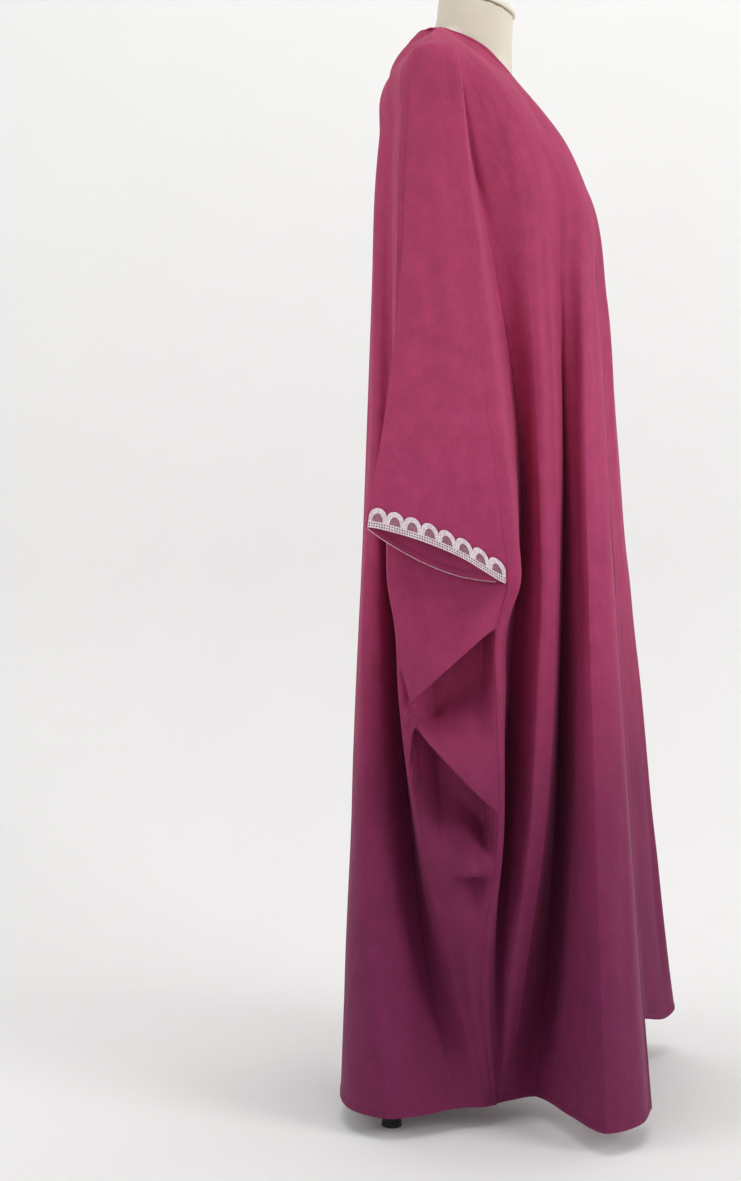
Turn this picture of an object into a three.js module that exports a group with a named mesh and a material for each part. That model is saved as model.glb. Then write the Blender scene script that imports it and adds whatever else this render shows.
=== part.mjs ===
// Open-front butterfly abaya of plain crepe with scalloped lace cuffs, on a limbless dress form with a tripod.
// Millimetres, +Z up, the wearer faces -Y, the wearer's right is -X.
import * as THREE from "three";

// Cloth
const WALL = 2;
const SEAM_HALF_GAP = 0.2;
const FOLD_HALF_GAP = 0.7;
const HEM_HEIGHT = 28;
const SLIT_HEIGHT = 703;

// Lace
const LACE_SCALLOPS = 8;
const LACE_BAND = 8.5;
const LACE_RISE = 24;
const LACE_NOTCH = 14;
const LACE_THICK = 1;
const LACE_GAP = 0.65;
const LACE_LIFT = WALL / 2 + LACE_GAP + LACE_THICK / 2;
const LACE_HOLE_HALF = 0.27;
const LACE_HOLE_TOP = 18.5;
const LACE_START = { front: 0.03, back: 0.17 };
const LACE_END = 0.97;

// Stand
const COLUMN_RADIUS = 12.5;
const HUB_RADIUS = 26;
const HUB_LOW = 214;
const HUB_HIGH = 262;
const FOOT_REACH = 193;
const FOOT_RADIUS = 13;
const FOOT_HEIGHT = 20;
const FOOT_TURN = 122;
const FIT_GAP = 0.3;

// Shoulder line from the middle of the back neck, round the neck and out to the shoulder tip.
const RIDGE = [
  { out: 0, forward: -84, height: 1455 },
  { out: 42, forward: -76, height: 1457 },
  { out: 60, forward: -60, height: 1456 },
  { out: 66, forward: -42, height: 1452 },
  { out: 90, forward: -44.4, height: 1446 },
  { out: 118, forward: -47.3, height: 1436 },
  { out: 140, forward: -49.5, height: 1426 },
  { out: 160, forward: -51.6, height: 1414 },
  { out: 184, forward: -54, height: 1395 },
];

// Fold lines. Each starts on the shoulder line, "ridge" millimetres out, and then runs down through LEVELS,
// "forward" of the middle of the form and "out" from the middle of the garment.
const LEVELS = [1450, 1385, 1300, 1250, 1100, 900, 760, 703, 650, 560, 380, 200, 28];

const FRONT = [
  {
    fold: "front edge",
    ridge: 66,
    forward: [64, 123, 145, 159, 172, 181, 185, 188, 194, 206, 218, 231],
    out: [42, 18, 2.2, 15, 41, 57, 65, 70, 79, 101, 119, 140],
  },
  {
    fold: "beside the edge",
    ridge: 72,
    forward: [60, 119, 143, 160, 171, 178, 181, 183, 188, 198, 206, 214],
    out: [56, 36, 28, 46, 75, 97, 105, 113, 128, 155, 185, 213],
  },
  {
    fold: "front crest",
    ridge: 80,
    forward: [53, 108, 131, 141, 146, 149, 151, 152, 155, 160, 166, 172],
    out: [72, 60, 56, 80, 112, 133, 141, 149, 162, 192, 225, 254],
  },
  {
    fold: "flank of the valley",
    ridge: 92,
    forward: [43, 95, 115, 121, 125, 129, 130, 131, 132, 132, 131, 128],
    out: [90, 79, 74, 80, 92, 103, 108, 113, 122, 142, 162, 185],
  },
  {
    fold: "front valley",
    ridge: 104,
    forward: [32, 84, 103, 113, 118, 118, 117, 116, 113, 108, 98, 82],
    out: [106, 94, 86, 81, 74, 68, 66, 65, 64, 66, 78, 106],
  },
  {
    fold: "strip, front side",
    ridge: 118,
    forward: [14, 66, 84, 98, 108, 109, 109, 108, 106, 95, 70, 47],
    out: [124, 114, 112, 121, 143, 149, 151, 153, 156, 161, 157, 128],
  },
  {
    fold: "strip, crest",
    ridge: 130,
    forward: [-2, 45, 62, 80, 95, 101, 102, 101, 98, 86, 62, 41],
    out: [138, 130, 128, 137, 150, 155, 157, 158, 161, 166, 160, 134],
  },
  {
    fold: "valley by the sleeve",
    ridge: 146,
    forward: [-24, 0, 10, 36, 64, 66, 63, 58, 54, 50, 42, 35],
    out: [168, 168, 166, 156, 128, 112, 108, 105, 104, 112, 140, 143],
  },
  {
    fold: "front fold of the sleeve",
    ridge: 158,
    forward: [-20, -6, -2, 18, 43, 60, 64, 43, 42, 43, 24, 31],
    out: [192, 206, 209, 216, 223, 225, 222, 204, 200, 193, 172, 150],
  },
  {
    fold: "side seam",
    ridge: 166,
    forward: [-32, -20, -17, 3, 28, 46, 51, 36, 35, 36, 14, 28],
    out: [195, 208, 211, 219, 226, 228, 224, 207, 204, 196, 173, 152],
  },
];

// The two layers of the sleeve end at the cuff, whose height is "cuff".
const SLEEVE_FRONT = [
  {
    fold: "near layer, front",
    ridge: 173,
    cuff: 743,
    forward: [-46, -39, -37, -27, -17, -10, -8],
    out: [195, 209, 213, 222, 231, 236, 236],
  },
  {
    fold: "near layer, rear",
    ridge: 179,
    cuff: 766,
    forward: [-60, -58, -58, -57, -62, -66, -68],
    out: [192, 205, 210, 219, 228, 234, 235],
  },
  {
    fold: "shoulder fold",
    ridge: 184,
    cuff: 775,
    forward: [-72, -76, -78, -85, -107, -124, -128],
    out: [186, 197, 203, 210, 219, 226, 226],
  },
];

const SLEEVE_BACK = [
  {
    fold: "rear layer, rear",
    ridge: 177,
    cuff: 736,
    forward: [-67, -60, -58, -56, -62, -68, -72],
    out: [182, 194, 198, 204, 209, 211, 211],
  },
  {
    fold: "rear layer, front",
    ridge: 170,
    cuff: 712,
    forward: [-62, -46, -40, -26, -18, -12, -10],
    out: [180, 192, 196, 201, 205, 207, 207],
  },
];

const BACK = [
  {
    fold: "inner fold of the sleeve",
    ridge: 163,
    forward: [-58, -36, -24, 2, 28, 46, 50, 36, 35, 36, 14, 28],
    out: [176, 188, 192, 196, 201, 210, 221.4, 207, 204, 196, 173, 152],
  },
  {
    fold: "pouch, front",
    ridge: 156,
    forward: [-66, -54, -46, -26, -5, 10, 14, 10, 6, 8, 4, 26],
    out: [171, 182, 184, 185, 188, 193, 199, 208, 214, 206, 176, 154],
  },
  {
    fold: "pouch, middle",
    ridge: 149,
    forward: [-73, -68, -62, -50, -36, -24, -22, -25, -24, -14, -6, 24],
    out: [166, 180, 181, 182, 184, 187, 191, 205, 216, 206, 175, 156],
  },
  {
    fold: "pouch, rear",
    ridge: 141,
    forward: [-80, -78, -76, -72, -68, -64, -62, -62, -56, -40, -15, 22],
    out: [160, 175, 177, 178, 181, 186, 189, 200, 212, 200, 172, 158],
  },
  {
    fold: "rear crest of the pouch",
    ridge: 132,
    forward: [-86, -90, -92, -95, -99, -104, -103, -93, -88, -64, -24, 18],
    out: [150, 165, 168, 172, 180, 192, 195, 196, 197, 188, 168, 161],
  },
  {
    fold: "back valley",
    ridge: 114,
    forward: [-98, -104, -106, -106, -106, -110, -110, -106, -104, -94, -68, -18],
    out: [118, 128, 128, 124, 118, 114, 112, 110, 108, 106, 120, 172],
  },
  {
    fold: "flank of the back lobe",
    ridge: 98,
    forward: [-106, -114, -118, -122, -124, -126, -126, -126, -124, -114, -98, -62],
    out: [96, 112, 114, 116, 118, 128, 132, 136, 140, 150, 170, 206],
  },
  {
    fold: "crest of the back lobe",
    ridge: 82,
    forward: [-111, -121, -126, -133, -138, -140, -141, -142, -141, -136, -124, -100],
    out: [76, 98, 101, 104, 108, 128, 136, 142, 152, 176, 202, 227],
  },
  {
    fold: "rear of the back lobe",
    ridge: 66,
    forward: [-115, -125, -130, -137, -144, -148, -150, -152, -155, -160, -162, -152],
    out: [55, 70, 75, 82, 90, 98, 102, 106, 112, 128, 155, 192],
  },
  {
    fold: "back fold",
    ridge: 42,
    forward: [-118, -127, -131, -136, -141, -145, -147, -149, -153, -160, -168, -177],
    out: [30, 40, 44, 48, 54, 60, 62, 66, 70, 80, 92, 96],
  },
  {
    fold: "back middle",
    ridge: 0,
    forward: [-119, -126, -129, -131, -133, -136, -137, -138, -141, -146, -150, -154],
    out: [0, 0, 0, 0, 0, 0, 0, 0, 0, 0, 0, 0],
  },
];

// On the left the front swings further forward and its hem rises; the rest sways a little from the right.
const LEFT_FRONT = [
  {
    fold: "front edge",
    hem: 44,
    forward: [64, 124, 150, 163, 174, 184, 188, 190, 196, 208, 219, 230],
    out: [42, 18, 2.6, 17, 45, 64, 72, 78, 90, 114, 138, 162],
  },
  {
    fold: "beside the edge",
    hem: 57,
    forward: [60, 121, 156, 177, 190, 200, 206, 210, 220, 236, 250, 264],
    out: [56, 36, 28, 50, 82, 109, 118, 126, 143, 172, 196, 218],
  },
  {
    fold: "front crest",
    hem: 58,
    forward: [53, 110, 146, 171, 192, 204, 211, 216, 226, 243, 262, 280],
    out: [72, 60, 54, 78, 108, 132, 141, 149, 165, 195, 230, 264],
  },
  {
    fold: "flank of the valley",
    hem: 44,
    forward: [43, 95, 124, 139, 155, 163, 168, 172, 180, 193, 205, 214],
    out: [90, 79, 76, 88, 118, 142, 152, 160, 175, 206, 242, 282],
  },
  {
    fold: "front valley",
    hem: 34,
    forward: [32, 84, 104, 115, 120, 120, 119, 118, 116, 112, 108, 104],
    out: [106, 94, 86, 81, 76, 70, 70, 70, 72, 80, 98, 128],
  },
];
const LEFT_SWAY = 5;
const LEFT_SWAY_LENGTH = 610;

// Slack of the side seam under the cuff: two slanting folds and a rolled lobe, as steps across the rear panel.
const POUCH = {
  right: { upper: 618, upperSlope: 0.9, lower: 452, lowerSlope: -1.05, lobe: 352, depth: 20 },
  left: { upper: 600, upperSlope: 0.8, lower: 446, lowerSlope: -0.9, lobe: 360, depth: 17 },
};

// Heights of the rows of each panel.
const ROWS_HIGH = [1450, 1422, 1400, 1385, 1345, 1300, 1250, 1190, 1100, 1000, 900, 820, 760, 727];
const ROWS_FRONT = [703, 680, 655, 625, 580, 520, 450, 380, 325, 275, 200, 120, 28];
const ROWS_BACK = [
  703, 680, 655, 638, 625, 608, 594, 580, 565, 550, 535, 520, 502, 486, 470, 450, 434, 418, 400, 380, 362, 346,
  325, 300, 275, 240, 200, 120, 28,
];
const SPLITS_FRONT = [2, 1, 2, 1, 2, 1, 2, 2, 1];
const SPLITS_SLEEVE = [2, 2, 2];
const SPLITS_BACK = [1, 2, 2, 1, 2, 1, 1, 1, 1, 2];

// Torso sections: half width, reach forward and back, and how square the section is.
const FORM = [
  { height: 762, half: 112, front: 66, back: -76, power: 2.1 },
  { height: 772, half: 124, front: 76, back: -88, power: 2.1 },
  { height: 850, half: 132, front: 82, back: -96, power: 2.1 },
  { height: 930, half: 126, front: 78, back: -88, power: 2.1 },
  { height: 1040, half: 106, front: 70, back: -74, power: 2.1 },
  { height: 1120, half: 118, front: 84, back: -82, power: 2.1 },
  { height: 1200, half: 136, front: 98, back: -92, power: 2.1 },
  { height: 1250, half: 140, front: 92, back: -97, power: 2.1 },
  { height: 1300, half: 142, front: 74, back: -98, power: 2 },
  { height: 1350, half: 148, front: 50, back: -94, power: 1.9 },
  { height: 1385, half: 153, front: 28, back: -90, power: 1.7 },
];
// Shoulders: from the neck's side, "rootFront" and "rootBack" at NECK_SIDE, each section narrows to its tip.
const SHOULDER = [
  { height: 1402, half: 158, tip: -46, rootFront: 30, rootBack: -92, front: 46, back: -97 },
  { height: 1414.6, half: 156.5, tip: -51.2, rootFront: 14, rootBack: -80, front: 47, back: -86 },
  { height: 1424.6, half: 139.8, tip: -49.5, rootFront: -11, rootBack: -70, front: 47, back: -78 },
  { height: 1434.6, half: 118, tip: -47.3, rootFront: -20, rootBack: -63, front: 47, back: -72 },
  { height: 1443.6, half: 93, tip: -44.7, rootFront: -42, rootBack: -49.2, front: 47, back: -68 },
  { height: 1450, half: 66, tip: -42.3, rootFront: -40.5, rootBack: -44.5, front: 47, back: -67 },
];
const NECK = [
  { height: 1458, half: 51, front: 47, back: -66, power: 2 },
  { height: 1480, half: 51, front: 48, back: -64, power: 2 },
];
const NECK_SIDE = 48;
const NECK_HEIGHT = 1499;
const NECK_SLANT = 0.28;
const NECK_FRONT = 50;
const NECK_BACK = -62;
const NECK_HALF = 51;
const CAP_THICK = 9;
const FORM_STEPS = 36;

const COLOURS = {
  cloth: "#8f3358",
  lace: "#f2e6ee",
  form: "#e6decb",
  cap: "#efe9dc",
  stand: "#1b1b1d",
};

// Value and slope of a smooth line through values at falling heights.
function along(heights, values, height) {
  const last = heights.length - 1;
  let i = 0;
  while (i < last - 1 && height < heights[i + 1]) i += 1;
  const step = (k) => (values[k + 1] - values[k]) / (heights[k + 1] - heights[k]);
  const slope = (k) => {
    if (k === 0) return step(0);
    if (k === last) return step(last - 1);
    const before = heights[k] - heights[k - 1];
    const after = heights[k + 1] - heights[k];
    return (step(k - 1) * after + step(k) * before) / (before + after);
  };
  const width = heights[i + 1] - heights[i];
  const t = (height - heights[i]) / width;
  const a = values[i];
  const b = values[i + 1];
  const ma = slope(i) * width;
  const mb = slope(i + 1) * width;
  const t2 = t * t;
  const t3 = t2 * t;
  return a * (2 * t3 - 3 * t2 + 1) + ma * (t3 - 2 * t2 + t) + b * (3 * t2 - 2 * t3) + mb * (t3 - t2);
}

// Point of the shoulder line at a distance out.
function ridgePoint(out) {
  let i = 0;
  while (i < RIDGE.length - 2 && out > RIDGE[i + 1].out) i += 1;
  const a = RIDGE[i];
  const b = RIDGE[i + 1];
  const t = (out - a.out) / (b.out - a.out);
  return new THREE.Vector3(
    out,
    a.forward + (b.forward - a.forward) * t,
    a.height + (b.height - a.height) * t,
  );
}

// Point (out, forward, height) of a fold line at a row height.
function foldPoint(line, row) {
  const top = ridgePoint(line.ridge);
  const scale = line.cuff ? (LEVELS[0] - line.cuff) / (LEVELS[0] - SLIT_HEIGHT) : 1;
  const height = LEVELS[0] - (LEVELS[0] - row) * scale;
  const count = line.out.length + 1;
  const heights = LEVELS.slice(0, count);
  const rise = heights.map((h) => h);
  rise[0] = top.z;
  if (count === LEVELS.length) rise[count - 1] = line.hem ?? HEM_HEIGHT;
  return new THREE.Vector3(
    along(heights, [top.x, ...line.out], height),
    along(heights, [top.y, ...line.forward], height),
    along(heights, rise, height),
  );
}

function smooth(t) {
  const c = Math.min(1, Math.max(0, t));
  return c * c * (3 - 2 * c);
}

// How far the slack cloth of the pouch stands out at a point of the rear panel; share runs from seam to crest.
function pouch(shape, share, forward, height) {
  const window = smooth((1 - share) / 0.28) * (0.35 + 0.65 * smooth(share / 0.2));
  const upper = shape.upper + shape.upperSlope * forward;
  const lower = shape.lower + shape.lowerSlope * forward;
  const depth = shape.depth;
  let lift = 0;
  if (height > upper) {
    lift = depth * smooth(1 - (height - upper) / 85);
  } else if (height > lower) {
    const span = Math.max(upper - lower, 1);
    const down = (upper - height) / span;
    const tuck = Math.min(0.35, 16 / span);
    lift = down < tuck ? depth * (1 - 1.7 * smooth(down / tuck)) : depth * (-0.7 + 1.7 * smooth((down - tuck) / (1 - tuck)));
    lift *= Math.min(1, span / 40);
  } else {
    const down = lower - height;
    const roll = smooth(1 - Math.abs(forward - 16) / 34);
    const low = Math.max(lower - shape.lobe, 60);
    const rise = -0.95 + (0.95 + 0.75 * roll) * smooth((down - 18) / (low - 18));
    const fall = smooth((down - low) / 28);
    const mended = smooth((down - low - 28) / 60);
    lift = down < 18 ? depth * (1 - 1.95 * smooth(down / 18)) : depth * rise;
    if (down > low) lift = depth * 0.75 * roll * (1 - fall) - depth * 0.5 * roll * fall * (1 - mended);
  }
  return lift * window;
}

// Centripetal spline between b and c.
function between(a, b, c, d, t) {
  const t1 = Math.sqrt(a.distanceTo(b)) || 1e-6;
  const t2 = t1 + (Math.sqrt(b.distanceTo(c)) || 1e-6);
  const t3 = t2 + (Math.sqrt(c.distanceTo(d)) || 1e-6);
  const s = t1 + (t2 - t1) * t;
  const mix = (p, q, u, v) => p.clone().multiplyScalar((v - s) / (v - u)).addScaledVector(q, (s - u) / (v - u));
  const a1 = mix(a, b, 0, t1);
  const a2 = mix(b, c, t1, t2);
  const a3 = mix(c, d, t2, t3);
  return mix(mix(a1, a2, 0, t2), mix(a2, a3, t1, t3), t1, t2);
}

// A row of the half garment, from the front edge over the sleeve to the back middle.
function halfRow(side, row) {
  const lines = side.front.concat(row >= SLIT_HEIGHT ? side.sleeve : [], side.back);
  const seam = side.front.length - 1;
  let points = lines.map((line) => foldPoint(line, row));
  if (row < SLIT_HEIGHT) points = points.filter((p, i) => i !== seam + 1);
  const list = row < SLIT_HEIGHT ? lines.filter((line, i) => i !== seam + 1) : lines;
  const splits = SPLITS_FRONT.concat(row >= SLIT_HEIGHT ? [...SPLITS_SLEEVE, ...SPLITS_SLEEVE] : [], SPLITS_BACK);
  const first = points[0].clone().multiplyScalar(2).sub(points[1]);
  const beyond = points[points.length - 2].clone();
  beyond.x *= -1;
  const padded = [first, ...points, beyond];
  const out = [];
  for (let i = 0; i < points.length - 1; i += 1) {
    for (let k = 0; k < splits[i]; k += 1) {
      const t = k / splits[i];
      if (row === LEVELS[0]) {
        out.push(ridgePoint(list[i].ridge + (list[i + 1].ridge - list[i].ridge) * t));
      } else {
        out.push(k === 0 ? points[i].clone() : between(...padded.slice(i, i + 4), t));
      }
    }
  }
  out.push(points[points.length - 1].clone());
  const seamAt = SPLITS_FRONT.reduce((a, b) => a + b, 0);
  const backAt = row >= SLIT_HEIGHT ? seamAt + 2 * SPLITS_SLEEVE.reduce((a, b) => a + b, 0) : seamAt;
  const pouchEnd = backAt + SPLITS_BACK.slice(0, 4).reduce((a, b) => a + b, 0);
  if (row < SLIT_HEIGHT) {
    for (let i = backAt + 1; i < pouchEnd; i += 1) {
      const p = out[i];
      p.x += pouch(side.pouch, (i - backAt) / (pouchEnd - backAt), p.y, p.z);
    }
  }
  return out;
}

// The right and left halves as data.
function sway(lines, amount) {
  return lines.map((line) => ({
    ...line,
    forward: line.forward.map((f, k) => {
      const height = LEVELS[k + 1];
      return f + amount * smooth((1300 - height) / 300) * Math.sin((2 * Math.PI * height) / LEFT_SWAY_LENGTH);
    }),
  }));
}
const SIDES = {
  right: {
    sign: -1,
    front: FRONT,
    sleeve: [...SLEEVE_FRONT, ...SLEEVE_BACK],
    back: BACK,
    pouch: POUCH.right,
  },
  left: {
    sign: 1,
    front: [...LEFT_FRONT.map((line, i) => ({ ...line, ridge: FRONT[i].ridge })), ...sway(FRONT.slice(5), LEFT_SWAY)],
    sleeve: sway([...SLEEVE_FRONT, ...SLEEVE_BACK], LEFT_SWAY),
    back: sway(BACK, LEFT_SWAY),
    pouch: POUCH.left,
  },
};
const SEAM = SPLITS_FRONT.reduce((a, b) => a + b, 0);
const SLEEVE = SPLITS_SLEEVE.reduce((a, b) => a + b, 0);
const BACK_COLUMNS = SPLITS_BACK.reduce((a, b) => a + b, 0);

// Faces of a grid of point names.
function gridFaces(names, points) {
  const faces = [];
  for (let r = 0; r < names.length - 1; r += 1) {
    for (let c = 0; c < names[r].length - 1; c += 1) {
      const [p, q] = [names[r][c], names[r][c + 1]];
      const [s, t] = [names[r + 1][c], names[r + 1][c + 1]];
      const short = points[p].distanceTo(points[t]) < points[q].distanceTo(points[s]);
      if (short) faces.push([p, t, q], [p, s, t]);
      else faces.push([p, s, q], [q, s, t]);
    }
  }
  return faces.filter(([a, b, c]) => a !== b && b !== c && a !== c);
}

// Mean of the face normals at each point.
function pointNormals(points, faces) {
  const normals = points.map(() => new THREE.Vector3());
  for (const [a, b, c] of faces) {
    const u = points[b].clone().sub(points[a]).normalize();
    const v = points[c].clone().sub(points[a]).normalize();
    const w = points[c].clone().sub(points[b]).normalize();
    const n = u.clone().cross(v).normalize();
    normals[a].addScaledVector(n, u.angleTo(v));
    normals[b].addScaledVector(n, w.angleTo(u.clone().negate()));
    normals[c].addScaledVector(n, v.clone().negate().angleTo(w.clone().negate()));
  }
  return normals.map((n) => n.normalize());
}

// A closed wall round a sheet of faces: both sides and a rim.
function wall(points, normals, faces, low, high) {
  const used = [...new Set(faces.flat())];
  const at = new Map(used.map((name, i) => [name, i]));
  const count = used.length;
  const position = [];
  for (const reach of [high, low]) {
    for (const name of used) {
      const p = points[name].clone().addScaledVector(normals[name], reach);
      position.push(p.x, p.y, p.z);
    }
  }
  const index = [];
  const edges = new Map();
  for (const face of faces) {
    const [a, b, c] = face.map((name) => at.get(name));
    index.push(a, b, c, count + c, count + b, count + a);
    for (const [u, v] of [[a, b], [b, c], [c, a]]) edges.set(u + "," + v, [u, v]);
  }
  for (const [u, v] of edges.values()) {
    if (edges.has(v + "," + u)) continue;
    index.push(v, u, count + u, v, count + u, count + v);
  }
  return solid(position, index);
}

function solid(position, index) {
  const geometry = new THREE.BufferGeometry();
  geometry.setAttribute("position", new THREE.Float32BufferAttribute(position, 3));
  geometry.setIndex(index);
  geometry.computeVertexNormals();
  return geometry;
}

const MATERIALS = {
  cloth: new THREE.MeshStandardMaterial({ color: COLOURS.cloth, roughness: 0.85, metalness: 0, side: THREE.DoubleSide }),
  lace: new THREE.MeshStandardMaterial({ color: COLOURS.lace, roughness: 0.9, metalness: 0, side: THREE.DoubleSide }),
  form: new THREE.MeshStandardMaterial({ color: COLOURS.form, roughness: 0.8, metalness: 0 }),
  cap: new THREE.MeshStandardMaterial({ color: COLOURS.cap, roughness: 0.6, metalness: 0 }),
  stand: new THREE.MeshStandardMaterial({ color: COLOURS.stand, roughness: 0.45, metalness: 0.2 }),
};

const group = new THREE.Group();
group.name = "abaya_on_dress_form";

function add(name, geometry, material) {
  const mesh = new THREE.Mesh(geometry, material);
  mesh.name = name;
  group.add(mesh);
  return mesh;
}

// One half of the garment: point and normal of each row and column, in the frame of the part.
function makeHalf(side) {
  const rows = [...ROWS_HIGH, ...ROWS_BACK];
  const points = [];
  const names = [];
  for (const row of rows) {
    const line = halfRow(side, row);
    names.push(line.map((p) => points.push(new THREE.Vector3(side.sign * p.x, -p.y, p.z)) - 1));
  }
  return { rows, points, names };
}

// Column numbers: the front runs 0..SEAM, the sleeve on to SEAM+SLEEVE at the shoulder fold and SEAM+2*SLEEVE.
function panelNames(half, part) {
  const slit = ROWS_HIGH.length;
  const keep = half.rows.map((row, r) => r <= slit || part !== "front" || ROWS_FRONT.includes(row));
  const main = [];
  const sleeve = [];
  half.names.forEach((line, r) => {
    if (!keep[r]) return;
    if (part === "front") {
      main.push(line.slice(0, SEAM + 1));
      if (r <= slit) sleeve.push(line.slice(SEAM, SEAM + SLEEVE + 1));
    } else {
      const start = r <= slit ? SEAM + 2 * SLEEVE : SEAM;
      main.push(line.slice(start));
      if (r <= slit) sleeve.push(line.slice(SEAM + SLEEVE, start + 1));
    }
  });
  return { main, sleeve };
}

// Turns a face list round where the half is mirrored, so that faces look outwards.
function facing(faces, side) {
  return side.sign > 0 ? faces : faces.map(([a, b, c]) => [a, c, b]);
}

// The front has fewer rows, so between them the side seam runs straight for both panels.
function straightenSeam(half, list) {
  const slit = ROWS_HIGH.length;
  for (let r = slit + 1; r < half.rows.length - 1; r += 1) {
    if (ROWS_FRONT.includes(half.rows[r])) continue;
    let high = r;
    let low = r;
    while (!ROWS_FRONT.includes(half.rows[high])) high -= 1;
    while (!ROWS_FRONT.includes(half.rows[low])) low += 1;
    const a = half.names[high][SEAM];
    const b = half.names[low][SEAM];
    const t = (half.rows[high] - half.rows[r]) / (half.rows[high] - half.rows[low]);
    list[half.names[r][SEAM]].copy(list[a]).lerp(list[b], t);
  }
}

const halves = {};
for (const [name, side] of Object.entries(SIDES)) {
  const half = makeHalf(side);
  straightenSeam(half, half.points);
  const slit = ROWS_HIGH.length;
  const all = half.names;
  for (const part of ["front", "back"]) {
    const { main, sleeve } = panelNames(half, part);
    half[part] = facing([...gridFaces(main, half.points), ...gridFaces(sleeve, half.points)], side);
  }
  const whole = [];
  for (let r = 0; r < all.length - 1; r += 1) {
    const upper = r === slit ? [...all[r].slice(0, SEAM + 1), ...all[r].slice(SEAM + 2 * SLEEVE + 1)] : all[r];
    whole.push(...gridFaces([upper, all[r + 1]], half.points));
  }
  half.normals = pointNormals(half.points, facing(whole, side));
  straightenSeam(half, half.normals);
  halves[name] = half;
}

// Along the shoulder line the wall stands across the line, in the upright plane that holds it.
for (const [name, half] of Object.entries(halves)) {
  const sign = SIDES[name].sign;
  half.names[0].forEach((id, c) => {
    const p = half.points[id];
    const out = sign * p.x;
    if (out < 66 && c > SEAM) return;
    const a = ridgePoint(Math.max(66, out - 6));
    const b = ridgePoint(Math.min(184, out + 6));
    const t = new THREE.Vector3(b.x - a.x, b.y - a.y, b.z - a.z).normalize();
    const up = new THREE.Vector3(0, 0, 1).addScaledVector(t, -t.z).normalize();
    half.normals[id].set(sign * up.x, -up.y, up.z);
  });
}

// Cloth panels, drawn in from each seam by half its gap.
function pulled(half, part) {
  const points = half.points.map((p) => p.clone());
  const slit = ROWS_HIGH.length;
  const move = (id, towards, distance) => {
    const way = half.points[towards].clone().sub(half.points[id]).normalize();
    points[id].addScaledVector(way, distance);
  };
  half.names.forEach((line, r) => {
    const fold = SEAM + SLEEVE;
    if (r <= slit) move(line[fold], line[part === "front" ? fold - 1 : fold + 1], FOLD_HALF_GAP);
    if (r >= slit) {
      if (part === "front") move(line[SEAM], line[SEAM - 1], SEAM_HALF_GAP);
      if (part === "back" && r > slit) move(line[SEAM], line[SEAM + 1], SEAM_HALF_GAP);
    }
  });
  const first = part === "front" ? 0 : SEAM + SLEEVE;
  const last = part === "front" ? SEAM + SLEEVE : half.names[0].length - 1;
  for (let c = first; c <= last; c += 1) {
    const id = half.names[0][c];
    points[id].y += part === "front" ? -SEAM_HALF_GAP : SEAM_HALF_GAP;
  }
  return points;
}

for (const name of ["right", "left"]) {
  const half = halves[name];
  const geometry = wall(pulled(half, "front"), half.normals, half.front, -WALL / 2, WALL / 2);
  add("front_" + name, geometry, MATERIALS.cloth);
}

// The back joins both halves along its middle.
{
  const points = [];
  const normals = [];
  const faces = [];
  for (const name of ["right", "left"]) {
    const half = halves[name];
    const start = points.length;
    const moved = pulled(half, "back");
    const middle = new Map();
    half.names.forEach((line, r) => middle.set(line[line.length - 1], r));
    half.points.forEach((p, i) => {
      points.push(moved[i]);
      const n = half.normals[i].clone();
      if (middle.has(i)) n.setX(0).normalize();
      normals.push(n);
    });
    const right = halves.right.names;
    const point = (i) => (name === "left" && middle.has(i) ? right[middle.get(i)].at(-1) : start + i);
    for (const face of half.back) faces.push(face.map(point));
  }
  add("back", wall(points, normals, faces, -WALL / 2, WALL / 2), MATERIALS.cloth);
}

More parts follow.
